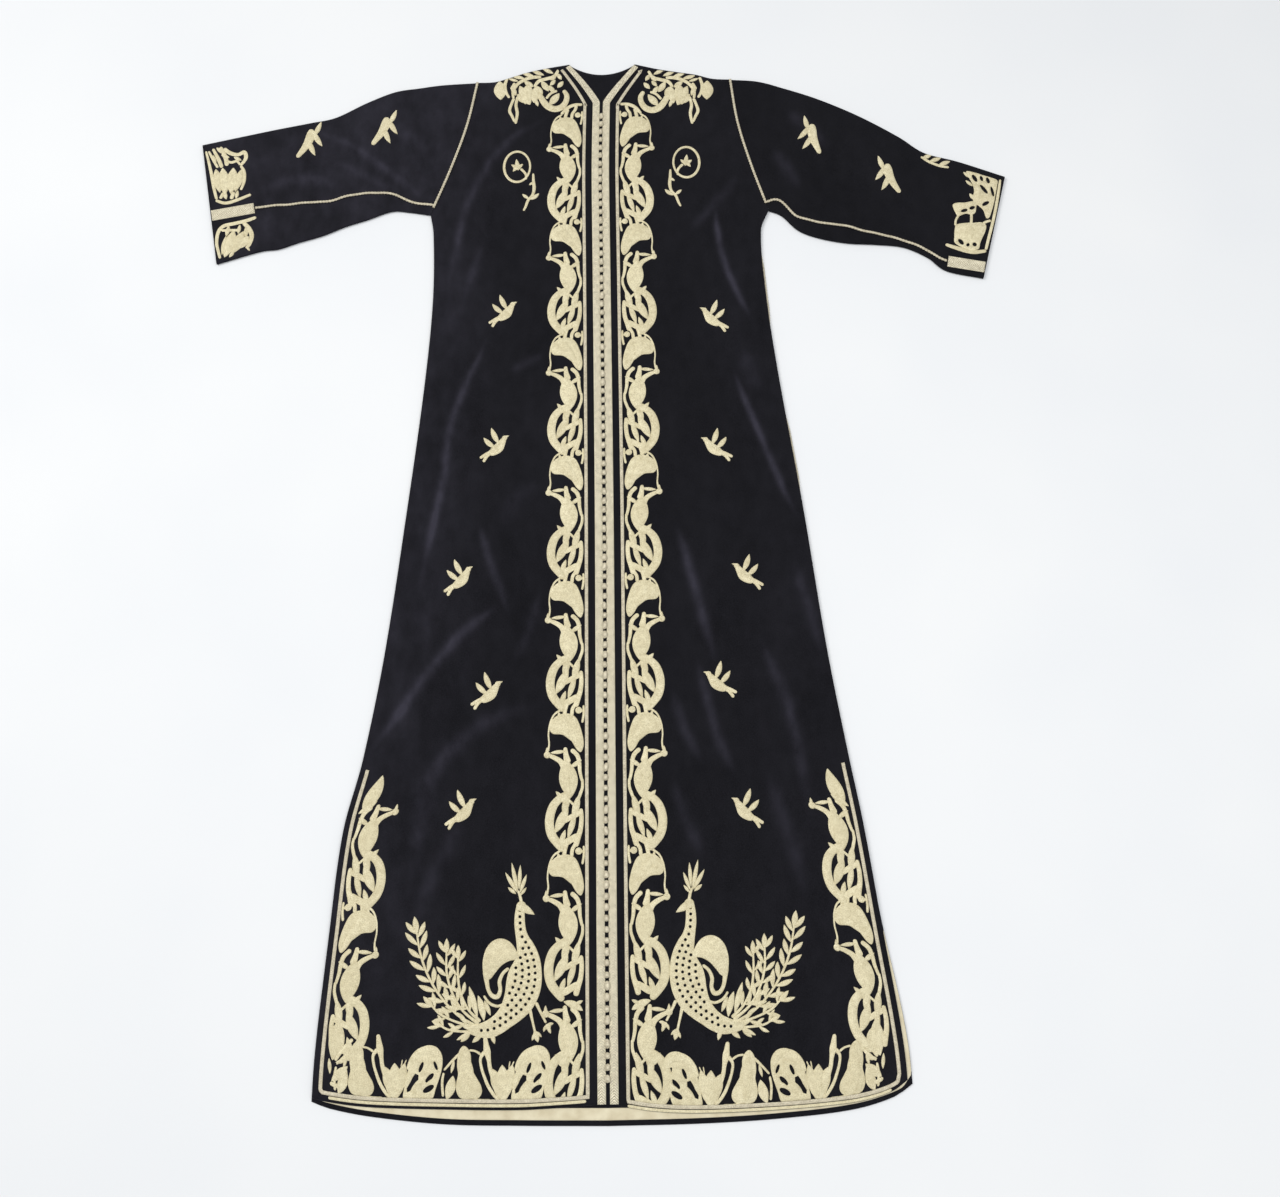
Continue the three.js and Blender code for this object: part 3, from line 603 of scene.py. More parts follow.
def velvet_material():
    """Black pile with a plum cast and random mottling, lightened by painted sheen on each piece, by the
    fronts' sides and along the folds.
    """
    material, tree, shader = new_material(
        "black velvet", Metallic=0.0, Sheen_Weight=0.1, Sheen_Roughness=0.4,
        Sheen_Tint=(0.72, 0.72, 0.88, 1), Specular_IOR_Level=0.1,
    )
    broad = times(tree, clouds(tree, 6.0, 4.0, 0.34, 0.7, (2.0, 0.8, 1)), 0.55)
    mottled = times(tree, clouds(tree, 60.0, 5.0, 0.34, 0.7, (1, 0.7, 1)), 0.45)
    brushed = plus(tree, broad, mottled)
    flecks = clouds(tree, 900.0, 2.0, 0.3, 0.75)
    soft = mix_colour(tree, brushed, COLOURS["velvet_deep"], COLOURS["velvet_pile"])
    pile = mix_colour(tree, flecks, soft, COLOURS["velvet_fleck"])
    uneven = clouds(tree, 40.0, 4.0, 0.2, 0.8, (1, 0.5, 1))
    # Painted sheen, uneven at random, lightens the pile towards the sheen colour
    painted_sheen = times(tree, stored_value(tree, "painted_sheen"), plus(tree, uneven, 0.3))
    painted_sheen = times(tree, painted_sheen, plus(tree, brushed, 0.4))
    colour = mix_colour(tree, ramp_node(tree, painted_sheen, 0.0, 1.0), pile, COLOURS["velvet_painted_sheen"])
    tree.links.new(colour, shader.inputs["Base Color"])
    tree.links.new(plus(tree, times(tree, brushed, -0.14), 0.94), shader.inputs["Roughness"])
    height = plus(tree, flecks, times(tree, noise_node(tree, 170.0, 4.0), 1.4))
    add_bump(tree, shader, height, 0.5, 0.0005)
    return material


def add_threads(tree, shader, thread_group, across, pitch, kind, speckle):
    """Lays threads of one kind over a material, counted across them, and gives their group back."""
    threads = tree.nodes.new("ShaderNodeGroup")
    threads.node_tree = thread_group
    tree.links.new(across, threads.inputs["Across Threads"])
    threads.inputs["Pitch"].default_value = pitch
    # This gold's painted highlight, and its painted shade that also shows in worn spots
    threads.inputs["Painted Highlight Colour"].default_value = COLOURS[f"{kind}_bright"]
    threads.inputs["Painted Shade And Wear Colour"].default_value = COLOURS[f"{kind}_dark"]
    threads.inputs["Speckle"].default_value = speckle
    tree.links.new(threads.outputs["Roughness"], shader.inputs["Roughness"])
    return threads


def thread_material(kind, thread_group, key, pitch, bump):
    """Gold thread with painted highlight on its crowns and painted shade between its threads, in shapes of
    which some are a little more tarnished than others.
    """
    material, tree, shader = new_material(f"gold {kind}", Metallic=0.12, Specular_IOR_Level=0.5)
    threads = add_threads(tree, shader, thread_group, stored_value(tree, key), pitch, kind, 0.55)
    tarnish = times(tree, stored_value(tree, "tone"), 0.2)
    colour = mix_colour(tree, tarnish, threads.outputs["Colour"], COLOURS[f"{kind}_dark"])
    tree.links.new(colour, shader.inputs["Base Color"])
    add_bump(tree, shader, threads.outputs["Height"], bump, 0.0003)
    return material


def braid_material(thread_group):
    """Flat plaited braid: threads slant to the middle from both edges, with painted highlight on their
    crowns and painted shade between them.
    """
    material, tree, shader = new_material("gold braid", Metallic=0.25, Specular_IOR_Level=0.5)
    aside = math_node(tree, "ABSOLUTE", stored_value(tree, "across"))
    slanted = plus(tree, stored_value(tree, "along"), times(tree, aside, 0.9))
    threads = add_threads(tree, shader, thread_group, slanted, 3.2, "braid", 0.6)
    tree.links.new(threads.outputs["Colour"], shader.inputs["Base Color"])
    add_bump(tree, shader, threads.outputs["Height"], 0.9, 0.0009)
    return material


def tape_material():
    """Cream cotton tape in a plain weave."""
    material, tree, shader = new_material("cream tape", Metallic=0.0, Roughness=0.85, Sheen_Weight=0.15)
    turns = [times(tree, stored_value(tree, key), 4.2) for key in ("along", "across")]
    weave = times(tree, *(math_node(tree, "SINE", turn) for turn in turns))
    colour = mix_colour(tree, clouds(tree, 60.0, 4.0, 0.3, 0.7), COLOURS["tape_soiled"],
                        COLOURS["tape_clean"])
    tree.links.new(colour, shader.inputs["Base Color"])
    add_bump(tree, shader, weave, 0.4, 0.0003)
    return material


def floor_material():
    """Pale sheet under the garment."""
    material, tree, shader = new_material("pale sheet", Roughness=0.9, Specular_IOR_Level=0.1)
    colour = mix_colour(tree, clouds(tree, 3.0, 2.0, 0.3, 0.7), COLOURS["sheet_grey"],
                        COLOURS["sheet_pale"])
    tree.links.new(colour, shader.inputs["Base Color"])
    add_bump(tree, shader, noise_node(tree, 700.0, 2.0), 0.15, 0.0004)
    return material


# Cloth

FRONT_GRID = {"rows": 280, "columns": 96}
BACK_GRID = {"rows": 200, "columns": 33}
SLEEVE_GRID = {"stations": 120, "upper": 60, "fold": 5}


def front_panel(side, material):
    across, up = (np.linspace(0, 1, FRONT_GRID[way]) for way in ("columns", "rows"))
    across, up = np.meshgrid(across, up)
    x, y = cut_point(FRONT_CUT, side, across, up)
    # Heights of the cloth, and its painted sheen
    height, painted_sheen = front_height(side, x, y), painted_sheen_share(side, x, y)
    piece = cloth_wall(f"velvet_front_{side}", x, y, height, painted_sheen, material, side == "left")
    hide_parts(f"front_{side}")
    return piece


def back_panel(material):
    up = np.linspace(0, 1, BACK_GRID["rows"])
    across = np.linspace(0, 1, BACK_GRID["columns"])
    left = cut_point(BACK_CUT, "left", *np.meshgrid(across[:0:-1], up))
    right = cut_point(BACK_CUT, "right", *np.meshgrid(across, up))
    x, y = (np.hstack(pair) for pair in zip(left, right))
    # Even painted sheen over the back
    painted_sheen = np.full(x.shape, PAINTED_SHEEN["back"])
    piece = cloth_wall("velvet_back", x, y, np.zeros(x.shape), painted_sheen, material, False)
    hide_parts("back")
    return piece


def sleeve_place(side, station, share):
    """Places of a sleeve between its sections: station along it, share from upper to lower fold."""
    sections = SLEEVES[side]
    keys = np.arange(len(sections), dtype=float)
    tops, lows = sections[:, 0:2], sections[:, 2:4]
    share = np.asarray(share, float)
    points = tops[:, None] + (lows - tops)[:, None] * share.ravel()[None, :, None]
    points[0, :, 0] = SIDES[side] * (half_width(side, points[0, :, 1]) + SEAM_GAP / 2)
    station = np.asarray(station, float).ravel()
    result = np.empty((len(station), share.size, 2))
    for axis in (0, 1):
        for column in range(share.size):
            table = np.stack([keys, points[:, column, axis]], -1)
            result[:, column, axis] = read(table, 1, station)
    return result


def seam_share(side, station):
    sections = SLEEVES[side]
    table = np.stack([np.arange(len(sections), dtype=float), sections[:, 4]], -1)
    return read(table, 1, np.asarray(station, float))


def sleeve_lift(side, station, share, places, length):
    """Height of the creases on a sleeve's upper layer, none at folds, seam, armhole or cuff."""
    seam, ramp = CREASE_BORDER["seam"], CREASE_BORDER["sleeve_ramp"]
    to_seam = np.abs(share[None] - seam_share(side, station)[:, None])
    nearest = np.minimum(np.minimum(share, 1 - share)[None], to_seam) * length[:, None]
    plain = smooth_step(PLAIN_FROM_SECTION - 1, PLAIN_FROM_SECTION, station)
    ends = smooth_step(0.2, 1.0, station) * (1 - plain)
    height = crease_height(f"{side}Sleeve", places[..., 0], places[..., 1])
    return smooth_step(seam, seam + ramp, nearest) * ends[:, None] * height


def sleeve_ring(side, station, inset, low, high, lifted):
    """Rings of a sleeve: over the upper layer, round the low fold, back under, round the upper fold."""
    upper = np.linspace(0, 1, SLEEVE_GRID["upper"])
    places = sleeve_place(side, station, upper)
    length = np.linalg.norm(places[:, -1] - places[:, 0], axis=1)
    radius = (high - low) / 2
    fold = (inset + radius) / length
    share = mix(fold[:, None], 1 - fold[:, None], upper[None])
    position = places[:, :1] + (places[:, -1:] - places[:, :1]) * share[..., None]
    bow = places - (places[:, :1] + (places[:, -1:] - places[:, :1]) * upper[None, :, None])
    position = position + bow
    lift = sleeve_lift(side, station, upper, places, length) if lifted else 0
    top = np.concatenate([position, np.full((*position.shape[:2], 1), high)], -1)
    top[..., 2] += lift
    under = np.concatenate([position[:, ::-1], np.full((*position.shape[:2], 1), low)], -1)
    down = (places[:, -1] - places[:, 0]) / length[:, None]
    turns = np.linspace(0, np.pi, SLEEVE_GRID["fold"] + 2)[1:-1]
    middle = (low + high) / 2

    def arc(centre, sign):
        points = np.empty((len(station), len(turns), 3))
        points[..., :2] = centre[:, None] + down[:, None] * (sign * radius * np.sin(turns))[None, :, None]
        points[..., 2] = middle + sign * radius * np.cos(turns)[None]
        return points

    return np.concatenate([top, arc(position[:, -1], 1), under, arc(position[:, 0], -1)], 1)


def sleeve(side, material):
    station = np.linspace(0, len(SLEEVES[side]) - 1, SLEEVE_GRID["stations"])
    outer = sleeve_ring(side, station, 0.0, 0.0, FLAT_HEIGHT, True)
    inner = sleeve_ring(side, station, VELVET, VELVET, VELVET + SEAM_GAP, False)
    rows, columns = outer.shape[:2]
    count = rows * columns
    points = np.concatenate([outer.reshape(-1, 3), inner.reshape(-1, 3)])
    turned = side == "left"
    faces = grid_faces(rows, columns, 0, True, turned)
    faces += grid_faces(rows, columns, count, True, not turned)
    for row, flip in ((0, not turned), (rows - 1, turned)):
        for column in range(columns):
            a, b = row * columns + column, row * columns + (column + 1) % columns
            faces.append([a, b, b + count, a + count][:: 1 if flip else -1])
    # Painted sheen over the sleeve
    painted_sheen = painted_sheen_share(f"{side}Sleeve", points[:, 0], points[:, 1])
    piece = mesh_object(f"velvet_sleeve_{side}", points, faces, material, {"painted_sheen": painted_sheen})
    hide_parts(f"sleeve_{side}")
    return piece


# Braid, edging, cords and tape

BRAID = {"width": 10.5, "thickness": 1.2, "from_closing": 7.6}
EDGING = {"width": 4.6, "thickness": 0.9, "from_closing": 24.5, "from_slit": 10}
EDGING_FROM_HEM = {"left": 10, "right": 7}
AT_SHOULDER = {"braid_width": 7.6, "braid_from_neck": 4.8, "edging_from_neck": 15.5}
SEAM_CORD = {"width": 4.0, "height": 2.6, "twist": 4.5}
ARMHOLE_CORD = {"below_shoulder": 1, "above_underarm": 11}
SIDE_CORD = {"width": 3.0, "height": 1.8, "twist": 4.0, "inset": 2.4, "from_y": 414, "to_y": 1166}
CUFF_BAND = {"width": 17.5, "thickness": 1.2, "from_cuff": 1.5}
FACING = {"width": 14, "thickness": 0.6, "from_hem": 6.5, "left_end": 0.96, "right_end": 0.955,
          "top_y": 196}
# Shares of the way across the hem: where the edging turns, and where it starts and ends along it
HEM_RUN = {"turn": 0.09, "from": 0.1, "to": 0.965}
OPENING_POINTS = 481
NECK_POINTS = 40
# Gap between a trim and the cloth under it, and how much more a flat trim swells than its solid
TRIM_GAP = 0.1
TRIM_SWELL = 0.1
PATH_STEP = 3.0
CORD_STEP = 0.8


def even_steps(path, step):
    """The same path with points a step apart."""
    length = path_length(path)
    places = np.linspace(0, length[-1], max(2, int(length[-1] / step) + 1))
    return np.stack([np.interp(places, length, path[:, axis]) for axis in range(path.shape[1])], -1)


def opening_edge(side):
    """Front edge up the opening and along the neck, and the share of the way along the neck."""
    count = OPENING_POINTS
    x, y = cut_point(FRONT_CUT, side, np.zeros(count), np.linspace(0, 1, count))
    across = np.linspace(0, NECK_SHARE, NECK_POINTS + 1)[1:]
    neck_x, neck_y = cut_point(FRONT_CUT, side, across, np.ones(NECK_POINTS))
    share = np.concatenate([np.zeros(count), across / NECK_SHARE])
    x, y = np.concatenate([x, neck_x]), np.concatenate([y, neck_y])
    return np.stack([x, y, FLAT_HEIGHT + loose_lift(y)], -1), share


def moved_aside(path, distance):
    moved = path.copy()
    moved[:, :2] += across_path(path) * np.asarray(distance)[:, None]
    return moved


def front_braid(side, material):
    edge, share = opening_edge(side)
    away = mix(BRAID["from_closing"] - SEAM_GAP / 2, AT_SHOULDER["braid_from_neck"], share)
    path = moved_aside(edge, SIDES[side] * away)[:-1]
    widths = mix(BRAID["width"], AT_SHOULDER["braid_width"], share[:-1])
    length = path_length(path)
    path[:, 2] += TRIM_GAP

    def width(at):
        return np.interp(at, length, widths)

    profile = oval_profile(width, BRAID["thickness"] + TRIM_SWELL)
    return trim_piece(f"gold_braid_{side}", f"braid_{side}", path, profile, material)


def slit_line(side, y, inset):
    return SIDES[side] * (half_width(side, y) - inset)


def front_edging(side, material):
    """Edging down beside the opening, along the hem and up the slit."""
    edge, share = opening_edge(side)
    away = mix(EDGING["from_closing"] - SEAM_GAP / 2, AT_SHOULDER["edging_from_neck"], share)
    down = moved_aside(edge, SIDES[side] * away)[::-1]
    hem_up = EDGING_FROM_HEM[side] / SHOULDER_Y
    down = down[down[:, 1] > cut_height(FRONT_CUT, side, HEM_RUN["turn"], hem_up)]
    across = np.linspace(HEM_RUN["from"], HEM_RUN["to"], 60)
    x, y = cut_point(FRONT_CUT, side, across, np.full(60, hem_up))
    hem = np.stack([x, y, np.full(60, FLAT_HEIGHT + LOOSE_LIFT)], -1)
    y = np.linspace(cut_height(FRONT_CUT, side, 1.0, hem_up), SLIT_TOP_Y, 100)
    slit = np.stack([slit_line(side, y, EDGING["from_slit"]), y, FLAT_HEIGHT + loose_lift(y)], -1)
    path = even_steps(np.concatenate([down, hem, slit]), PATH_STEP)
    path[:, 2] += TRIM_GAP
    profile = oval_profile(EDGING["width"], EDGING["thickness"] + TRIM_SWELL, 10, 0.7)
    return trim_piece(f"gold_edging_{side}", f"edging_{side}", path, profile, material)


def seam_cord(name, solid, path, material):
    profile = cord_profile(SEAM_CORD["width"], SEAM_CORD["height"], SEAM_CORD["twist"])
    return trim_piece(name, solid, path, profile, material)


def armhole_cord(side, material):
    ends = SHOULDER_Y - ARMHOLE_CORD["below_shoulder"], UNDERARM_Y + ARMHOLE_CORD["above_underarm"]
    y = np.linspace(*ends, 80)
    path = np.stack([SIDES[side] * half_width(side, y), y, np.full(80, FLAT_HEIGHT + TRIM_GAP)], -1)
    path = even_steps(path, CORD_STEP)
    return seam_cord(f"gold_armhole_cord_{side}", f"armhole_cord_{side}", path, material)


def sleeve_seam(side, station):
    share = seam_share(side, station)
    places = [sleeve_place(side, [s], [c])[0, 0] for s, c in zip(station, share)]
    return np.array([(x, y, FLAT_HEIGHT + TRIM_GAP) for x, y in places])


CORD_WAVER = 0.5


def sleeve_cord(side, material):
    station = np.linspace(0.02, CUFF_BAND_SECTION - 0.04, 90)
    path = even_steps(sleeve_seam(side, station), CORD_STEP)
    length = path_length(path)
    path[:, 1] += CORD_WAVER * (np.sin(length / 9.0) + 0.6 * np.sin(length / 5.3 + 1))
    return seam_cord(f"gold_sleeve_cord_{side}", f"sleeve_cord_{side}", path, material)


def cuff_band(side, material):
    ends = sleeve_seam(side, np.array([CUFF_BAND_SECTION, CUFF_BAND_SECTION + 1.0]))
    length = np.linalg.norm(ends[1] - ends[0])
    ends[1] = mix(ends[0], ends[1], 1 - CUFF_BAND["from_cuff"] / length)
    path = even_steps(ends, PATH_STEP)
    profile = oval_profile(CUFF_BAND["width"], CUFF_BAND["thickness"] + TRIM_SWELL)
    return trim_piece(f"gold_cuff_band_{side}", f"cuff_braid_{side}", path, profile, material)


# Where the side cord shows past the front: middle of the stretch, half length, how far
SIDE_CORD_SHOWS = {"left": [], "right": [(1090, 75, 3.4), (838, 75, 3.2)]}


def side_cord(side, material):
    y = np.linspace(SIDE_CORD["from_y"], SIDE_CORD["to_y"], 300)
    out = np.full(300, -SIDE_CORD["inset"])
    for middle, reach, far in SIDE_CORD_SHOWS[side]:
        out += far * (1 - smooth_step(0.4, 1, np.abs(y - middle) / reach))
    path = np.stack([SIDES[side] * (half_width(side, y) + out), y, np.zeros(300)], -1)
    path = even_steps(path, CORD_STEP)
    profile = cord_profile(SIDE_CORD["width"], SIDE_CORD["height"], SIDE_CORD["twist"], 10)
    return trim_piece(f"gold_side_cord_{side}", f"side_cord_{side}", path, profile, material)


def hem_facing(material):
    """Tape inside the back hem, turning up beside the right slit."""
    rise = FACING["from_hem"] + FACING["width"] / 2
    shares = [("left", a) for a in np.linspace(FACING["left_end"], 0.02, 60)]
    shares += [("right", a) for a in np.linspace(0, FACING["right_end"], 60)]
    path = []
    for side, across in shares:
        x, y = cut_point(BACK_CUT, side, np.array([across]), np.array([0.0]))
        path.append((x[0], y[0] + rise, VELVET + TRIM_GAP))
    corner = cut_height(BACK_CUT, "right", 1.0, 0.0) + rise
    for y in np.linspace(corner, FACING["top_y"], 30):
        x = half_width("right", y) - back_drawn_in("right", y) - FACING["width"] / 2 - 0.5
        path.append((x, y, VELVET + TRIM_GAP))
    path = even_steps(np.array(path, float), PATH_STEP)
    profile = oval_profile(FACING["width"], FACING["thickness"] + TRIM_SWELL, 10, 0.4)
    return trim_piece("cream_hem_facing", "hem_facing", path, profile, material)


# Knot buttons

KNOT = {"pitch": 13.5, "length": 8.6, "width": 7.4, "height": 3.4, "from_y": 22, "to_y": 1390}
KNOT_GRID = {"round": 18, "rows": 9}
KNOT_SEED = 5
# Some knots are pulled long enough to hide the gap to the next one
KNOT_STRETCH = (0.86, 0.92, 0.98, 1.04, 1.12, 1.22, 1.34)


def knot_shape():
    """One knot: a low dome with three bands of thread wrapped over it, and each point's turn round it."""
    turn = np.linspace(0, 2 * np.pi, KNOT_GRID["round"], endpoint=False)
    rise = np.linspace(0, np.pi / 2, KNOT_GRID["rows"])
    turn, rise = np.meshgrid(turn, rise)
    wraps = 1 + 0.07 * np.cos(3 * turn + 5 * rise)
    x = np.cos(turn) * np.cos(rise) ** 0.8 * wraps * KNOT["width"] / 2
    y = np.sin(turn) * np.cos(rise) ** 0.8 * wraps * KNOT["length"] / 2
    z = np.sin(rise) ** 0.9 * (0.92 + 0.08 * wraps) * KNOT["height"]
    return np.stack([x, y, z], -1).reshape(-1, 3), turn.ravel()


def closure_knots(material):
    one, turn = knot_shape()
    faces_one = grid_faces(KNOT_GRID["rows"], KNOT_GRID["round"], closed=True)
    faces_one.append(list(range(KNOT_GRID["round"]))[::-1])
    count = round((KNOT["to_y"] - KNOT["from_y"]) / KNOT["pitch"])
    points, faces, across, along = [], [], [], []
    chance = np.random.default_rng(KNOT_SEED)
    for knot in range(count):
        y = KNOT["from_y"] + (knot + 0.5) * KNOT["pitch"] + chance.uniform(-0.5, 0.5)
        lean = chance.uniform(-0.2, 0.2)
        c, s = math.cos(lean), math.sin(lean)
        wide, long = chance.uniform(0.92, 1.12), chance.choice(KNOT_STRETCH)
        px, py = one[:, 0] * wide, one[:, 1] * long
        turned = np.stack([px * c - py * s, px * s + py * c, one[:, 2] * chance.uniform(0.88, 1)], -1)
        base = FLAT_HEIGHT + float(loose_lift(y)) + BRAID["thickness"] + TRIM_GAP
        first = sum(len(group) for group in points)
        points.append(turned + (float(closing_line(y)) + chance.uniform(-0.4, 0.4), y, base))
        faces += [[first + corner for corner in face] for face in faces_one]
        across.append(turn * 2.2)
        along.append(one[:, 2])
    values = {"across": np.concatenate(across), "along": np.concatenate(along)}
    piece = mesh_object("gold_closure_knots", np.concatenate(points), faces, material,
                        values)
    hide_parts("closure_knots")
    return piece


# Embroidery. Each shape is a stroke (a domed band of stitches along a curve) or a patch (a flat
# padded outline with holes). Band drawings count out from the edging and up along it.

STITCH_STEP = 1.8
SUNK = 0.25
ACROSS = np.array([-1, -0.84, -0.45, 0, 0.45, 0.84, 1])
DOME = np.array([0, 0.66, 0.94, 1, 0.94, 0.66, 0])
SATIN_SLANT = 0.55


def new_stroke(spine, half, height, satin):
    aside = -across_path(spine)
    run = path_length(spine)
    offsets = half[:, None] * ACROSS
    thread = run[:, None] - SATIN_SLANT * np.abs(offsets) if satin else offsets + 0.22
    ends = np.clip(np.minimum(run, run[-1] - run) / 1.1, 0, 1) ** 0.5
    rise = (height + SUNK) * DOME[None] * ends[:, None] - SUNK
    return {"grid": spine[:, None] + aside[:, None] * offsets[..., None], "thread": thread, "rise": rise}


def leaf(tail, tip, width, bend=0.0, fullness=1.0, height=1.0):
    """A satin-stitched leaf. bend bows it aside, fullness under 1 puts its widest part near the tail."""
    tail, tip = np.asarray(tail, float), np.asarray(tip, float)
    run = tip - tail
    length = np.hypot(*run)
    aside = np.array([-run[1], run[0]]) / length
    t = 0.5 - 0.5 * np.cos(np.linspace(0, np.pi, max(7, int(length / STITCH_STEP) + 2)))
    spine = tail + run * t[:, None] + aside * (bend * 4 * t * (1 - t))[:, None]
    half = np.maximum(width / 2 * np.sin(np.pi * t**fullness) ** 0.8, 0.12)
    return new_stroke(spine, half, height, True)


def stroke(points, widths, height=0.8, satin=False):
    """A couched stem through the points. widths is one number or one for each point."""
    points = np.asarray(points, float)
    widths = np.broadcast_to(np.asarray(widths, float), len(points))
    spine = smooth_curve(np.column_stack([points, widths]), STITCH_STEP)
    spine, widths = spine[:, :2], spine[:, 2]
    run = path_length(spine)
    near_end = np.clip(np.minimum(run, run[-1] - run) / (0.5 * widths), 0, 1)
    half = widths / 2 * np.sqrt(np.clip(1 - (1 - near_end) ** 2, 0.05, 1))
    return new_stroke(spine, half, height, satin)


def patch(outline, holes=(), axis=(0, 1), height=1.0, edge=0.9):
    axis = np.asarray(axis, float) / np.hypot(*axis)
    return {"rings": [np.asarray(outline, float), *(np.asarray(h, float) for h in holes)],
            "axis": axis, "height": height, "edge": edge}


def blob(points, holes=(), axis=(0, 1), height=1.0):
    return patch(smooth_curve(points, 1.5, True), holes, axis, height)


def disc_outline(x, y, radius, tall=1.0):
    turn = np.linspace(0, 2 * np.pi, max(8, int(radius * 4)), endpoint=False)
    return np.stack([x + radius * np.cos(turn), y + radius * tall * np.sin(turn)], -1)


def disc(x, y, radius, height=1.0):
    return patch(disc_outline(x, y, radius), (), (1, 1), height, radius * 0.3)


def shifted(shapes, out, up):
    """The same shapes drawn further out and up."""
    move = np.array([out, up], float)
    return [{**shape, "grid": shape["grid"] + move} if "grid" in shape
            else {**shape, "rings": [points + move for points in shape["rings"]]} for shape in shapes]


# Shapes of the bands, drawn out from the edging and up from the tip of the bud


def bud():
    """A three-petalled bud that points away from the edging, with the plump leaf below it."""
    return [
        leaf((26, -7), (19.5, -58), 25, -1.5, height=1.2),
        stroke([(25.5, 9), (24.5, -1), (22, -13)], [5.0, 7.0, 11.0]),
        stroke([(48, -1), (39, -5), (31, -10.5), (26, -20)], [5.0, 6.4, 7.5, 9.0]),
        leaf((24, 3.5), (45, 1.5), 5.4), leaf((49, 9), (49, -4), 4.6), disc(48.8, -1, 4.6, 1.2),
        leaf((26, -61), (37.5, -48), 6.5),
        stroke([(20, -48), (24, -55), (33, -60)], [9, 10, 9], 1.1, True),
        stroke([(18, 6), (10, -2), (7.2, -12), (6.4, -23), (3.5, -36)], [6.0, 6.0, 5.4, 4.8, 3.6]),
        leaf((4, -8), (19, -18), 6.4),
        stroke([(3.2, -32), (3.2, -43), (6, -52), (9, -60)], [3.6, 4.0, 4.4, 4.0]),
    ]


def arc_over():
    """The thin stem that leaves the scroll above and bows out to the bud's tip."""
    return [stroke([(31, 58), (40, 51.5), (45.3, 40), (47.3, 26), (46.4, 13), (48, 3)],
                   [3.4, 2.8, 2.4, 2.2, 2.4, 3.6])]


def palmette():
    """A padded palmette that leans out from the edging, with three petals, a berry and stems above it."""
    outline = [(5, 2), (1.5, 10), (2, 21), (6, 36), (12, 48), (22, 53), (35, 51), (44, 43), (46.5, 34),
               (42, 26.5), (30, 25), (20, 20), (11, 6)]
    return [
        blob(outline, (), (0.6, 1), 0.95),
        stroke([(5, 8), (8, 24), (12, 37), (17, 47)], [5, 8, 11, 8], 1.25, True),
        stroke([(8, 10), (16, 24), (24, 36), (29, 46)], [5, 10, 13, 10], 1.4, True),
        stroke([(13, 16), (24, 27), (33, 34), (40, 38)], [5, 9, 12, 9], 1.3, True), disc(8, 57, 4.6),
        stroke([(2, 56), (8, 57)], 4.0),
        stroke([(10, 74), (12, 66), (16, 59), (17, 50)], [5.0, 5.0, 5.0, 5.0]),
        stroke([(23, 68), (25, 60), (27, 50)], [6.0, 5.4, 5.4]),
        stroke([(1.6, 64), (1.4, 52), (3.4, 40)], [3.0, 3.4, 3.4]), leaf((34, 55), (33, 47), 4.4),
    ]


def scroll():
    """A great curl that swells away from the edging, filled with leaves."""
    return [
        stroke([(20, -51), (31, -56.5), (40, -66), (44.6, -79), (45.2, -92), (42, -104), (35, -114),
                (27, -124)], [8, 10, 11.4, 12, 12, 12, 11, 8], 1.2, True),
        leaf((21, -52), (28, -78), 9.6), leaf((21.5, -68), (38, -101), 12.6, height=1.1),
        stroke([(5, -75), (16, -80.5), (28, -87)], [7.0, 7.4, 6.4]), leaf((12, -77), (22, -108), 8.2),
        leaf((7.5, -53), (15.5, -84), 9.6, height=1.1), stroke([(22, -58), (12, -68)], 3.4),
        stroke([(5.2, -70), (4.4, -84), (6, -98), (9.5, -108), (12, -119)], [5.4, 6.0, 6.6, 8.0, 7.0]),
        stroke([(8, -104), (18, -109.5), (27, -114), (35, -112)], [8.0, 9.0, 9.0, 7.0]),
        leaf((25, -97), (32, -117), 7.0),
    ]


CENTRE_TIPS = (1325, 1145, 964, 785, 605, 425, 244)
LAST_TIP = 106
SLIT_TIPS = (355, 179)


def centre_band():
    shapes = []
    for tip in CENTRE_TIPS:
        shapes += shifted(arc_over() + scroll() + palmette() + bud(), 0, tip)
    stem = stroke([(1, 75), (13, 74.5), (24, 69), (33, 58)], [4.4, 5.6, 5.6, 4.4])
    shapes += shifted([stem], 0, CENTRE_TIPS[0])
    shapes += shifted(bud(), 0, LAST_TIP) + shifted(scroll(), 0, LAST_TIP + 6)
    return shapes + shifted([leaf((3, 2), (27, 13), 10, 1.5), leaf((3, 14), (13, 9), 5)], 0, LAST_TIP)


def slit_band():
    shapes = [leaf((6, 358), (19, 401), 19, -3.0, 0.8), leaf((2, 352), (22, 368), 8.5)]
    for tip in SLIT_TIPS:
        shapes += shifted(scroll() + bud(), 0, tip)
    return shapes + shifted(arc_over() + palmette(), 0, SLIT_TIPS[1])


# Hem border drawings count out from the middle of the round scroll and up from below the edging
HEM_DRAWN_FROM = 10
HEM_SCROLLS = (86, 217)
SECOND_LINE = {"from_x": 24.5, "to_share": 0.945, "up": 2.9, "width": 3.8, "height": 0.7}


def gap(tail, tip, width):
    """Outline of a long oval opening in a padded shape."""
    tail, tip = np.asarray(tail, float), np.asarray(tip, float)
    reach = (tip - tail) / 2
    aside = np.array([-reach[1], reach[0]]) / np.hypot(*reach) * width / 2
    turn = np.linspace(0, 2 * np.pi, 14, endpoint=False)[:, None]
    return (tail + tip) / 2 + np.cos(turn) * reach + np.sin(turn) * aside


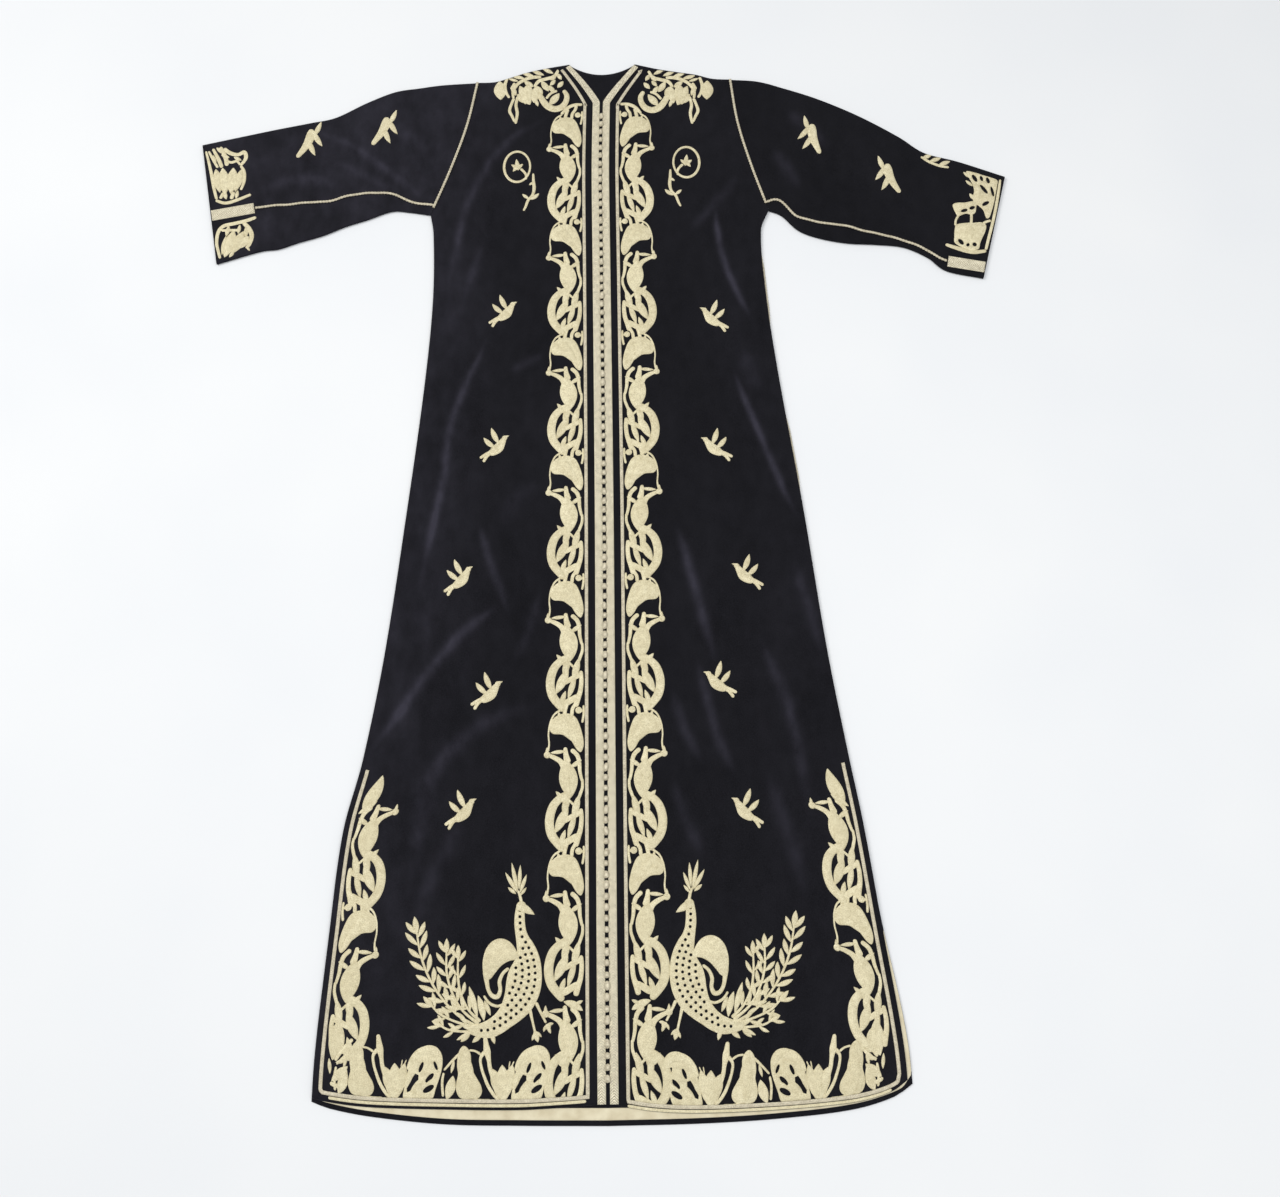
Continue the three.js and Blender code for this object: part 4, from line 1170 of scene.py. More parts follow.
def hem_scroll():
    """A padded dome, open between the leaves that fill it."""
    dome = [(29, 9), (28.5, 22), (26, 36), (22, 48), (15, 62), (6, 69.5), (-3, 71), (-11, 68),
            (-16.5, 60), (-17.5, 50), (-16, 40), (-13, 30), (-10, 21), (-6, 10), (6, 8), (18, 8)]
    hooked = [(11.5, 36.5), (15.5, 38), (18.5, 33.5), (21, 28), (25.2, 21), (24.6, 16.5), (21, 18),
              (18, 24), (14.5, 28.5), (11.5, 31)]
    gaps = [gap((10.8, 39.6), (6.2, 51.5), 4.2), gap((-7.0, 52.5), (-11.2, 42.5), 3.6), hooked,
            gap((2.6, 28.4), (-6.8, 38.6), 5.4), gap((5.4, 17.2), (-7.6, 24.8), 6.6)]
    return [
        blob(dome, gaps, (0.5, 1), 0.95),
        stroke([(25, 42), (19, 53), (10, 61.5), (-2, 64), (-10, 59.5), (-13.4, 50)],
               [4, 9, 12, 13, 10, 5], 1.3, True),
        leaf((2.5, 40), (-1, 58), 7.5, height=1.25), leaf((19, 12), (5, 31), 8.5, height=1.3),
        leaf((4, 23.5), (-10, 34), 4.6, height=1.25), leaf((8, 10), (-6, 16.5), 5.0, height=1.25),
    ]


def hem_unit():
    """Round scroll, thistle, spear with its stems, and plump bud."""
    plump = [(88.5, 71), (93.4, 66), (95.6, 57), (96, 47), (94.6, 38), (96.4, 29), (96.6, 20), (92, 11.6),
             (82, 9.4), (70, 11), (65, 17.5), (66.4, 26), (72, 35), (76.6, 43), (78.6, 52), (79.4, 61),
             (83, 68)]
    return [
        *hem_scroll(), leaf((37, 6), (53, 45), 16, 0, 1.25, 0.95),
        leaf((38, 6), (41, 49.5), 17, 0, 1.25, 1.1), leaf((38, 6), (28.5, 50), 14, 0, 1.25, 1.0),
        leaf((40, 7), (40, 40), 24, 0, 1.1, 0.9), stroke([(30, 46), (26.5, 54)], 1.6),
        stroke([(33, 45), (31.5, 54)], 1.6),
        stroke([(62.5, 82), (61, 73), (59.6, 65), (57.4, 55), (55.6, 45), (51, 33)],
               [4.6, 6.8, 9.0, 5.6, 5.4, 6.4]),
        stroke([(62, 65), (67.4, 57), (66.4, 47), (62.6, 36), (57.6, 25), (50.5, 15), (44, 9)],
               [6.0, 3.8, 3.6, 3.8, 4.2, 4.2, 3.6]),
        stroke([(67, 61), (74, 65), (82, 66)], [3.4, 2.8, 2.8]), blob(plump, (), (0.1, 1), 0.95),
        leaf((83, 12), (88, 68), 19, 1.0, 0.85, 1.35),
        stroke([(86, 66), (95, 60), (104, 51), (112, 42)], [4.0, 3.6, 3.2, 2.6]),
        leaf((99.5, 54), (103, 39), 4.4), leaf((108, 9), (100.5, 36.5), 12.5, 1.0, height=1.1),
        stroke([(112, 40), (113.5, 28), (112, 12)], [3.0, 3.4, 3.4]),
        stroke([(76, 10), (66, 9), (54, 9)], 3.4),
    ]


def hem_second_line(side):
    """The second line of gold, couched below the hem's edging."""
    x = np.linspace(SECOND_LINE["from_x"], SECOND_LINE["to_share"] * width_at(side, 0), 24)
    points = np.stack([x, np.full(24, SECOND_LINE["up"])], -1)
    return [stroke(points, SECOND_LINE["width"], SECOND_LINE["height"])]


HEM_CORNER = [
    leaf((334, 46), (331, 90), 18, 1.5), stroke([(331, 46), (322, 60), (310, 74)], [4, 4.6, 4]),
    stroke([(323, 46), (316, 56), (309, 66)], [4, 4, 3.6]), leaf((334, 22), (315, 42), 11),
    leaf((336, 30), (338, 48), 5), stroke([(336, 20), (326, 18), (314, 22)], [5, 5.4, 4.4]),
    stroke([(318, 40), (316, 28), (318, 16)], 4.0), leaf((330, 44), (318, 48), 5.0),
]


def spray(points, leaves, size):
    """A stem with pairs of leaves from near its foot to its tip."""
    spine = smooth_curve(points, 2.0)
    shapes = [stroke(points, [4.5] + [3.2] * (len(points) - 2) + [2.4])]
    for number, share in enumerate(np.linspace(0.26, 0.97, leaves)):
        place = int(share * (len(spine) - 1))
        ahead = spine[place] - spine[max(place - 3, 0)]
        ahead = ahead / np.hypot(*ahead)
        aside = np.array([-ahead[1], ahead[0]])
        for sign in (-1, 1):
            start = spine[place] - ahead * (2.5 if sign > 0 else -1.5)
            tip = start + (ahead * 0.84 + aside * sign * 0.56) * size * (1.06 - 0.12 * (number % 2))
            shapes.append(leaf(start, tip, size * 0.3, 0.8 * sign, 1.15))
    return shapes + [leaf(spine[-3], spine[-1] + ahead * size * 0.8, size * 0.36)]


EYELET_ROWS = [
    [(107, 229), (107, 218), (106, 206)],
    [(104, 197), (97, 186), (91, 174), (88, 160), (87.5, 146), (90, 133), (96, 121), (105, 110),
     (117, 101), (129, 93), (141, 88), (153, 87)],
    [(103, 183), (98, 171), (95.5, 158), (95.5, 146), (98.5, 134), (105, 122), (114, 112), (125, 104),
     (137, 97)],
    [(106, 172), (103.5, 160), (103.5, 148), (106.5, 137), (112.5, 126), (121, 116)],
    [(111.5, 160), (111.5, 149), (114, 139), (119, 130)],
]
EYELET = {"radius": 1.9, "step": 7.6}


def peacock():
    """A peacock that walks towards the opening, drawn out from the closing line and up from the hem."""
    eyelets = []
    for points in EYELET_ROWS:
        for x, y in even_steps(smooth_curve(points, 1.0), EYELET["step"]):
            eyelets.append(disc_outline(x, y, EYELET["radius"]))
    body = [(101.5, 229), (100.5, 215), (99, 205), (95.5, 197), (90.5, 190), (85, 180), (81, 168),
            (79.3, 155), (79.3, 142), (81.5, 130), (86, 119), (93, 108.5), (103, 99.5), (117, 90),
            (130, 82), (142, 78), (155, 79), (168, 84), (168, 92), (156, 95), (146, 99), (137.5, 105),
            (131, 113), (127, 122), (124.5, 133), (123, 146), (120, 157), (115, 166), (110.5, 175),
            (111, 187), (112.5, 199), (114, 212), (113.5, 225), (110.5, 237), (105, 239)]
    lobe = [(108, 171), (113, 184), (121, 192.5), (131.5, 195.5), (141.5, 192), (149, 183), (152.7, 170),
            (152.5, 157), (149.5, 147), (143, 147), (137, 154), (129.5, 162.5), (120, 168)]
    return [
        *spray([(156, 90), (182, 105), (203, 126), (219, 150), (230, 177), (236, 206)], 8, 22.5),
        *spray([(156, 94), (177, 111), (190, 132), (197, 155), (198, 181)], 6, 19.5),
        *spray([(154, 97), (169, 111), (179, 130), (183, 150), (183.5, 174)], 4, 18),
        *spray([(156, 89), (183, 97), (203, 106), (215, 117)], 3, 19),
        *spray([(154, 86), (175, 86), (192, 88), (203, 93)], 3, 16), leaf((166, 86), (178, 74), 7.5),
        leaf((152, 83), (164, 73), 6.5), leaf((141, 85), (136.5, 71), 6),
        leaf((150, 98), (158, 128), 9, 1.0), leaf((158, 102), (169, 139), 8),
        leaf((142, 104), (150, 122), 6), blob(body, eyelets, (0.6, 1), 1.2),
        blob(lobe, (), (1, 0.5), 1.3),
        stroke([(149, 158), (147.5, 145), (145, 134), (140, 127), (133.5, 126.5), (130.5, 134),
                (131.5, 144), (127.5, 153.5), (120, 160)], [9, 6, 5, 5.5, 6, 5, 5, 4.4, 4], 1.0, True),
        stroke([(151, 128), (144, 119), (134, 115), (125, 118)], [3, 3.6, 3.6, 3.0]),
        disc(105.5, 234, 6.4, 1.3), leaf((109, 236), (88.5, 223.5), 10, 0, 0.7, 1.2),
        stroke([(105, 236), (107, 246), (110, 254)], [4.4, 3.8, 3.2]), leaf((110, 251), (118, 288), 5.6),
        leaf((108.5, 254), (107, 285), 5.2), leaf((111, 251), (126, 276), 5.6),
        leaf((112, 249), (122.5, 257.5), 5), leaf((107.5, 250), (99, 273), 5.2),
        leaf((107, 247), (99, 257), 4.2), stroke([(94, 111), (90.5, 97), (87, 83)], [4.6, 3.4, 3.2]),
        leaf((88, 87), (83.5, 72), 7.5), leaf((87, 84), (91, 74), 4.4), leaf((86, 85), (79, 78), 4.0),
        stroke([(86.5, 119), (80, 106), (73.5, 94)], [4.6, 3.4, 3.2]), disc(71.5, 90, 3.8),
        leaf((73, 92), (64.5, 94), 4.4), leaf((72, 91), (68, 82), 4.8), leaf((74, 92), (77, 84), 4.0),
    ]


def small_bird():
    """A bird in flight, drawn about its middle with its head towards the opening."""
    return [
        stroke([(17, 10), (13, 3), (8, -5), (0, -11), (-6, -12)], [6, 10.5, 14.5, 11.5, 7], 1.2, True),
        disc(16.5, 9.5, 3.8), leaf((15, 10), (23, 13), 4.4, 0, 0.6), leaf((9, 1), (-2, 25), 8.0, 1.0),
        leaf((4, -5), (-12.5, 10.5), 7.5, 1.2),
        stroke([(0, -10), (-8, -14), (-17.5, -20)], [6.0, 5.4, 4.2]),
        stroke([(0, -11), (-7, -16), (-12.5, -26)], [6.0, 5.4, 4.2]),
    ]


def flying_bird():
    """A bird in flight, drawn about its middle, head up and wings to the left."""
    return [
        stroke([(2, 21), (0, 11), (1, -3), (4, -15), (10, -31)], [8, 14, 13, 10.5, 6.5], 1.2, True),
        leaf((-6, 12), (-10, 36), 8.0, 0, 0.8, 1.1), leaf((-2, 19), (-22, -5), 8.4, 1.5),
        leaf((1, 4), (-16, -23), 8.4, 1.5),
    ]


def ring_flower():
    """An upright oval ring with a bloom in it, and a stem with leaves beside it, towards the opening."""
    return [
        patch(disc_outline(0, 0, 21, 1.31), [disc_outline(0.4, 0, 17.4, 1.36)], (1, 1), 0.8, 0.9),
        leaf((2, -6), (-1, 13), 7.0, 0, 0.9), leaf((3, -3), (-8.5, 3.5), 6.6, 0, 0.8),
        leaf((0, -3), (9, 4.5), 6.0, 0, 0.8), leaf((2, 3), (-6, -8), 6.6, 0, 0.8), disc(1, -1, 4.6, 1.2),
        stroke([(5, -3), (10, -8), (13.5, -14), (13, -22)], [4.4, 4.0, 4.0, 3.4]),
        stroke([(24, -11), (24.5, -24), (25.5, -36), (23.5, -47), (17, -56), (13.5, -66), (10, -74)],
               [3.0, 4.6, 5.2, 4.4, 4.4, 4.0, 3.0]),
        leaf((25, -26), (18, -31), 4.4), leaf((19, -55), (33, -45), 6.4, -1.0),
        leaf((18, -54), (8, -46), 5.4),
    ]


# Laying the embroidery on the cloth


def signed_area(points):
    x, y = points[:, 0], points[:, 1]
    return 0.5 * np.sum(x * np.roll(y, -1) - np.roll(x, -1) * y)


def moved_in(points, amount):
    """A closed outline moved to the left of its own direction."""
    along = np.roll(points, -1, 0) - np.roll(points, 1, 0)
    size = np.linalg.norm(along, axis=1, keepdims=True)
    along = along / np.where(size > 1e-9, size, 1)
    return points + np.stack([-along[:, 1], along[:, 0]], -1) * amount


# A shape with more than this share of its points outside is dropped
MOSTLY = 0.8
# Each shape's height is varied by a factor between these
UNEVEN = (0.93, 1.07)
# How wide the padded edge of a hole is beside the outer one
HOLE_EDGE_SHARE = 0.35
# Metres above the floor from which the cloth is felt for
RAY_FROM = 0.1


class Stitching:
    """The shapes of one piece of embroidery, gathered as raised solids over the cloth."""

    def __init__(self, cloth, seed):
        self.cloth = cloth
        self.chance = np.random.default_rng(seed)
        self.points, self.thread, self.tone, self.faces = [], [], [], []
        self.count = 0

    def ground(self, x, y):
        start = Vector(((x - MIDDLE[0]) / 1000, (y - MIDDLE[1]) / 1000, RAY_FROM))
        hit = self.cloth.ray_cast(start, Vector((0, 0, -1)))[0]
        return hit.z * 1000 if hit else FLAT_HEIGHT

    def add(self, shapes, place, limit=None):
        """Lays shapes by place. limit holds them inside the cloth, and drops those mostly outside."""
        for shape in shapes:
            if "grid" in shape:
                self.add_stroke(shape, place, limit)
            else:
                self.add_patch(shape, place, limit)

    def keep(self, points, rise, thread):
        first = self.count
        self.points.append(np.column_stack([points, np.broadcast_to(rise, len(points))]))
        self.thread.append(thread)
        self.count += len(points)
        return first

    def add_stroke(self, shape, place, limit):
        rows, columns = shape["thread"].shape
        points = place(shape["grid"].reshape(-1, 2))
        if limit is not None:
            held = limit(points)
            if np.mean(np.abs(held - points).max(1) > 1e-6) > MOSTLY:
                return
            points = held
        grid = points.reshape(rows, columns, 2)
        rim = np.concatenate([grid[:, 0], grid[::-1, -1]])
        uneven = self.chance.uniform(*UNEVEN)
        first = self.keep(points, shape["rise"].ravel() * uneven, shape["thread"].ravel())
        self.faces += grid_faces(rows, columns, first, turned=signed_area(rim) > 0)
        self.tone.append(np.full(rows * columns, self.chance.uniform(0, 1)))

    def add_patch(self, shape, place, limit):
        rings = [place(points) for points in shape["rings"]]
        sources = shape["rings"]
        if limit is not None:
            held = [limit(points) for points in rings]
            moved = [np.abs(a - b).max(1) > 1e-6 for a, b in zip(rings, held)]
            if moved[0].mean() > MOSTLY:
                return
            kept = [0] + [i for i in range(1, len(held)) if not moved[i].any()]
            rings, sources = [held[i] for i in kept], [sources[i] for i in kept]
        height = shape["height"] * self.chance.uniform(*UNEVEN)
        before = self.count
        top_rings, top = [], []
        for number, (points, source) in enumerate(zip(rings, sources)):
            if (signed_area(points) > 0) != (number == 0):
                points, source = points[::-1], source[::-1]
            thread = source @ shape["axis"]
            edge = shape["edge"] * (1 if number == 0 else HOLE_EDGE_SHARE)
            start = self.count
            for inset, rise in ((0, -SUNK), (edge * 0.3, height * 0.62), (edge, height)):
                last = moved_in(points, inset)
                self.keep(last, rise, thread)
            size = len(points)
            self.faces += grid_faces(3, size, start, closed=True)
            top_rings.append([Vector((x, y, 0)) for x, y in last])
            top += range(start + 2 * size, start + 3 * size)
        flat = [point for ring_points in top_rings for point in ring_points]
        for triangle in tessellate_polygon(top_rings):
            a, b, c = (flat[corner] for corner in triangle)
            turn = (b.x - a.x) * (c.y - a.y) - (b.y - a.y) * (c.x - a.x)
            self.faces.append([top[corner] for corner in (triangle if turn > 0 else triangle[::-1])])
        self.tone.append(np.full(self.count - before, self.chance.uniform(0, 1)))

    def finish(self, name, material):
        points = np.concatenate(self.points)
        points[:, 2] += [self.ground(x, y) for x, y in points[:, :2]]
        values = {"thread": np.concatenate(self.thread), "tone": np.concatenate(self.tone)}
        return mesh_object(name, points, self.faces, material, values)


BAND_START = EDGING["from_closing"] + EDGING["width"] / 2 + 0.2
SLIT_START = EDGING["from_slit"] + EDGING["width"] / 2 + 0.2


def on_front(side):
    """Places drawn out from the closing line and up from the hem."""
    def place(points):
        return np.stack([SIDES[side] * points[:, 0], points[:, 1]], -1)
    return place


def on_centre(side):
    """Places drawn out from the edging beside the opening."""
    def place(points):
        x = closing_line(points[:, 1]) + SIDES[side] * (BAND_START + points[:, 0])
        return np.stack([x, points[:, 1]], -1)
    return place


def on_slit(side):
    def place(points):
        return np.stack([slit_line(side, points[:, 1], SLIT_START + points[:, 0]), points[:, 1]], -1)
    return place


def hem_line(side, x):
    """Height of the hem edging's upper edge."""
    across = np.clip(np.abs(x) / width_at(side, 0), 0, 1)
    return read(FRONT_HEM, COLUMN[side], across) + EDGING_FROM_HEM[side] + EDGING["width"] / 2


def on_hem(side):
    def place(points):
        x = SIDES[side] * points[:, 0]
        return np.stack([x, points[:, 1] + hem_line(side, x) - HEM_DRAWN_FROM], -1)
    return place


# Height at which shares across the shoulder are taken, and how far below its edge shapes stop
NEAR_SHOULDER_Y = 1440.0
BELOW_SHOULDER = 2.0


def inside_front(side):
    """Keeps shapes above the hem's edging, inside the slit's and below the shoulder."""
    def limit(points):
        x, y = points[:, 0], np.maximum(points[:, 1], hem_line(side, points[:, 0]))
        edge = half_width(side, y) - np.where(y < SLIT_TOP_Y, SLIT_START, 0.0)
        x = SIDES[side] * np.minimum(np.abs(x), edge)
        across = np.clip(np.abs(x) / width_at(side, NEAR_SHOULDER_Y), 0, 1)
        top = read(SHOULDER, COLUMN[side], across) - BELOW_SHOULDER
        return np.stack([x, np.minimum(y, top)], -1)
    return limit


def at_spot(x, y, facing=1, lean=0.0):
    """Places round one spot of the cloth, turned by lean and mirrored where facing is -1."""
    c, s = math.cos(lean), math.sin(lean)

    def place(points):
        px, py = points[:, 0] * facing, points[:, 1]
        return np.stack([x + px * c - py * s, y + px * s + py * c], -1)

    return place


# Spots of the motifs: x, y and lean
BIRDS = {
    "left": [(-142, 1061, 0.0), (-151, 856, 0.0), (-197, 666, 0.05), (-156, 510, -0.05),
             (-187, 356, 0.0)],
    "right": [(165, 1048, 0.0), (162, 851, 0.1), (198, 667, 0.05), (156, 520, 0.1), (186, 352, 0.0)],
}
SLEEVE_BIRDS = {
    "left": [(-320, 1362, -0.22), (-431, 1343, -0.2)],
    "right": [(317, 1340, 0.0), (427, 1271, 0.12)],
}
RING_FLOWERS = {"left": (-121.5, 1295), "right": (129, 1299)}

# The shoulder's ornament lies further out on the right
SHOULDER_MOVED = {"left": (0, 0), "right": (15, -4)}


def shoulder_ornament():
    """The band's scroll, plump leaves and bud again, drawn out from the closing line and up from the hem."""
    return [
        leaf((147, 1410), (149, 1443), 20, height=1.1),
        stroke([(134, 1413), (139.5, 1424), (141, 1436), (137, 1450)], [4, 5, 5.4, 4.4]),
        leaf((103, 1401), (119, 1434), 17, 0, 0.9, 1.1), leaf((110, 1402), (105, 1438), 20, 0, 0.9, 1.2),
        leaf((97, 1404), (94, 1434), 13, 0, 0.9), leaf((112, 1404), (122, 1420), 10),
        stroke([(128, 1412), (128.5, 1425), (122, 1437), (111, 1445), (98, 1449), (86, 1449)],
               [4, 5, 5.4, 6, 6, 5]),
        leaf((112, 1447), (131, 1452), 7), leaf((97, 1450), (116, 1457), 7),
        leaf((82, 1452), (101, 1461), 7), leaf((68, 1455), (85, 1465), 7),
        stroke([(121.5, 1416), (124, 1401), (122, 1386), (124.5, 1368)], [4.4, 5, 5, 4.0]),
        stroke([(127, 1413), (131, 1402), (133.5, 1391), (129.5, 1381), (125.5, 1371)],
               [5, 4.6, 5, 4.6, 3.4]),
        leaf((91, 1398), (95, 1411), 6), leaf((124, 1417), (131, 1434), 8),
        stroke([(132, 1428), (126, 1440)], 4.4), leaf((98, 1432), (112, 1442), 9),
        leaf((84, 1419), (96, 1434), 10), leaf((66, 1421), (75, 1434), 8),
        leaf((56, 1444), (62, 1455), 7), leaf((73, 1434), (65, 1444), 7),
        leaf((121, 1442), (136, 1447), 5),
        stroke([(90, 1421), (84, 1408), (76, 1397.5), (66, 1393), (56, 1396), (49.5, 1405), (48, 1416),
                (53, 1426)], [8, 10, 11, 11, 10.5, 9, 8, 6], 1.2, True),
        leaf((74, 1400), (59, 1420), 12, height=1.1), stroke([(79, 1411), (72, 1420), (62, 1425)], 4.4),
        leaf((75, 1424), (86, 1442), 10), leaf((62, 1430), (53, 1441), 8),
        leaf((72, 1443), (64, 1454), 8),
        stroke([(97, 1432), (90, 1442), (78, 1446), (67, 1450), (60, 1462)], [4.4, 6, 6, 6, 4.4]),
    ]


def on_shoulder(side):
    aside, up = SHOULDER_MOVED[side]

    def place(points):
        return np.stack([SIDES[side] * (points[:, 0] + aside), points[:, 1] + up], -1)

    return place


# How far out the neck's edging reaches at the point of the V, and past the neck's corner
EDGING_REACH = {"at_v": 27.5, "past_neck": 19.0}


def neck_limit(side):
    """Keeps the shoulder's embroidery outside the neck edging."""
    inside = inside_front(side)

    def limit(points):
        held = inside(points)
        share = np.clip((held[:, 1] - V_POINT_Y) / (NECK_POINT_Y - V_POINT_Y), 0, 1)
        at_neck = width_at(side, NEAR_SHOULDER_Y) * NECK_SHARE + EDGING_REACH["past_neck"]
        edging = mix(EDGING_REACH["at_v"], at_neck, share)
        x = SIDES[side] * np.maximum(np.abs(held[:, 0]), edging)
        return np.stack([x, held[:, 1]], -1)

    return limit


FRONT_SEED = {"left": 11, "right": 12}
SLEEVE_SEED = {"left": 21, "right": 22}


def front_embroidery(side, material, cloth):
    work = Stitching(cloth, FRONT_SEED[side])
    limit = inside_front(side)
    work.add(centre_band(), on_centre(side), limit)
    work.add(slit_band(), on_slit(side), limit)
    for out in HEM_SCROLLS:
        work.add(shifted(hem_unit(), out, 0), on_hem(side), limit)
    work.add(HEM_CORNER, on_hem(side), limit)
    work.add(hem_second_line(side), on_hem(side))
    work.add(peacock(), on_front(side), limit)
    for x, y, lean in BIRDS[side]:
        work.add(small_bird(), at_spot(x, y, -SIDES[side], lean), limit)
    x, y = RING_FLOWERS[side]
    work.add(ring_flower(), at_spot(x, y, -SIDES[side]), limit)
    work.add(shoulder_ornament(), on_shoulder(side), neck_limit(side))
    return work.finish(f"embroidery_front_{side}", material)


CUFF_FOLD_MARGIN = 2.5


def left_cuff_ornament():
    """A line along the cuff, with a palmette above the braid and a second one below it."""
    return [
        stroke([(-583, 1329), (-577, 1309), (-572, 1290), (-567, 1268), (-561, 1247)],
               [3.4, 4.4, 5, 5, 4.4]),
        stroke([(-563, 1246), (-548, 1241), (-531, 1246), (-511, 1255)], [4.4, 5.4, 5.4, 4.4]),
        leaf((-557, 1258), (-566, 1298), 15, 0, 1.1), leaf((-549, 1254), (-556, 1300), 17, 0, 1.1, 1.15),
        leaf((-541, 1256), (-540, 1300), 18, 0, 1.1, 1.15), leaf((-535, 1259), (-528, 1297), 13, 0, 1.1),
        stroke([(-556, 1248), (-552, 1259)], 5), stroke([(-540, 1247), (-537, 1260)], 6),
        stroke([(-557, 1300), (-563, 1314), (-573, 1333)], [6, 6, 4.4]),
        stroke([(-550, 1303), (-553, 1317), (-562, 1336)], [6, 7, 5]),
        stroke([(-563, 1300), (-570, 1312), (-579, 1329)], [4, 4.4, 3.4]),
        stroke([(-557, 1333), (-547, 1325), (-535, 1322), (-526, 1326), (-523, 1316), (-530, 1303)],
               [6, 7, 6, 6.6, 6, 4.4]),
        stroke([(-553, 1313), (-544, 1309), (-536, 1311), (-530, 1304)], [3.4, 4.4, 4, 3.4]),
        stroke([(-530, 1304), (-524, 1293), (-523, 1277), (-527, 1262)], [4.4, 5, 5, 4]),
        leaf((-568, 1334), (-553, 1324), 8), leaf((-541, 1318), (-529, 1312), 6),
        leaf((-560, 1322), (-547, 1317), 6), leaf((-572, 1322), (-566, 1306), 5),
        leaf((-547, 1247), (-552, 1262), 7), leaf((-533, 1248), (-531, 1262), 6),
        stroke([(-501, 1217), (-517, 1211), (-533, 1207), (-548, 1203), (-555, 1193), (-556, 1176),
                (-552, 1160), (-549, 1150)], [5, 6, 6, 6, 5.6, 5, 4.6, 4]),
        leaf((-543, 1152), (-532, 1196), 18, 0, 1.0, 1.15),
        leaf((-533, 1158), (-518, 1194), 18, 0, 1.0, 1.1), leaf((-547, 1156), (-543, 1187), 8),
        leaf((-525, 1166), (-510, 1186), 14),
        stroke([(-520, 1209), (-511, 1199), (-506, 1187), (-508, 1174), (-513, 1166)], [6, 7, 7, 6, 4.4]),
        leaf((-524, 1205), (-526, 1190), 6), leaf((-513, 1170), (-507, 1162), 4),
        leaf((-540, 1204), (-543, 1186), 7), leaf((-515, 1202), (-514, 1184), 7),
        leaf((-536, 1152), (-530, 1162), 6), stroke([(-551, 1196), (-538, 1196), (-524, 1196)], 4.4),
    ]


def right_cuff_ornament():
    """A line along the cuff, and above the braid a bulb, a loop and a leafy scroll, all pierced."""
    plump = [(515, 1159), (515, 1170), (516.5, 1181), (520, 1189), (534, 1191.5), (545, 1191.5),
             (556, 1192), (563, 1187), (561, 1177), (556, 1167), (552, 1158), (549, 1149), (540, 1147),
             (528, 1150)]
    bulb_gaps = [gap((521, 1165), (527, 1156), 6.4), gap((532, 1153), (535.5, 1158), 4.4),
                 disc_outline(543.5, 1156, 3.2)]
    loop = [(517, 1222), (524, 1225), (535, 1225), (546, 1227), (552, 1224), (551, 1216), (549, 1208),
            (543, 1204.5), (536, 1206.5), (529, 1204.5), (523, 1202), (520, 1208), (517.5, 1215)]
    loop_gaps = [gap((528, 1210), (538, 1213.5), 5.2), gap((541, 1214), (549, 1218), 5.4)]
    leafy = [(541.5, 1277), (545, 1265), (549, 1254), (550, 1244), (547.5, 1234), (548, 1225),
             (556, 1218), (561, 1211), (564, 1199), (569, 1200), (574, 1212), (578, 1224), (581.5, 1238),
             (585, 1252), (586, 1261), (577, 1266), (566, 1270), (553, 1275)]
    leafy_gaps = [gap((550, 1271), (555.5, 1259), 6.0), gap((571, 1266), (573, 1256), 5.2),
                  gap((560, 1254), (569.5, 1239), 5.6), gap((575.6, 1251), (578, 1234), 4.2),
                  gap((560, 1219.5), (570.5, 1226), 5.6), gap((562, 1269), (563.5, 1260), 4.6)]
    return [
        stroke([(590.5, 1263), (586, 1242), (579.5, 1215), (572.5, 1190), (565.5, 1168), (559, 1147)],
               [3.4, 4.4, 4.6, 4.6, 4.6, 4.4]),
        stroke([(560, 1145.5), (541, 1144), (522, 1149), (501, 1157)], [5, 7, 7, 5]),
        blob(plump, bulb_gaps, (0.1, 1), 0.95), leaf((539, 1162), (538, 1190), 19, 0, 1.1, 1.3),
        stroke([(558, 1190), (564, 1193), (571, 1195)], 4.0),
        stroke([(543, 1207), (542.5, 1198), (541, 1189)], 4.2),
        stroke([(524, 1204), (519.5, 1196), (518, 1187)], 3.6), blob(loop, loop_gaps, (1, 0.2), 0.95),
        blob(leafy, leafy_gaps, (0.3, 1), 0.95),
        stroke([(553, 1227), (556, 1238), (555.5, 1249), (550, 1259)], [6, 8, 8, 5], 1.3, True),
        leaf((550, 1229), (543, 1240), 6), leaf((549, 1252), (539, 1262), 5),
        leaf((546, 1266), (537, 1276), 5), leaf((478, 1300), (493, 1306), 7),
        leaf((489, 1295), (506, 1300), 7), leaf((502, 1289), (519, 1294), 7),
        stroke([(476, 1303), (488, 1294), (503, 1287), (517, 1284)], [3.4, 4.4, 4.4, 3.4]),
    ]


def cuff_limit(side):
    """Keeps shapes between the two folds of the sleeve."""
    sections = SLEEVES[side]

    def limit(points):
        upper = np.interp(points[:, 0] * SIDES[side], sections[:, 0] * SIDES[side], sections[:, 1])
        lower = np.interp(points[:, 0] * SIDES[side], sections[:, 2] * SIDES[side], sections[:, 3])
        y = np.clip(points[:, 1], lower + CUFF_FOLD_MARGIN, upper - CUFF_FOLD_MARGIN)
        return np.stack([points[:, 0], y], -1)

    return limit


def sleeve_embroidery(side, material, cloth):
    work = Stitching(cloth, SLEEVE_SEED[side])
    for x, y, lean in SLEEVE_BIRDS[side]:
        work.add(flying_bird(), at_spot(x, y, SIDES[side], lean))
    ornament = left_cuff_ornament() if side == "left" else right_cuff_ornament()
    work.add(ornament, at_spot(0, 0), cuff_limit(side))
    return work.finish(f"embroidery_sleeve_{side}", material)


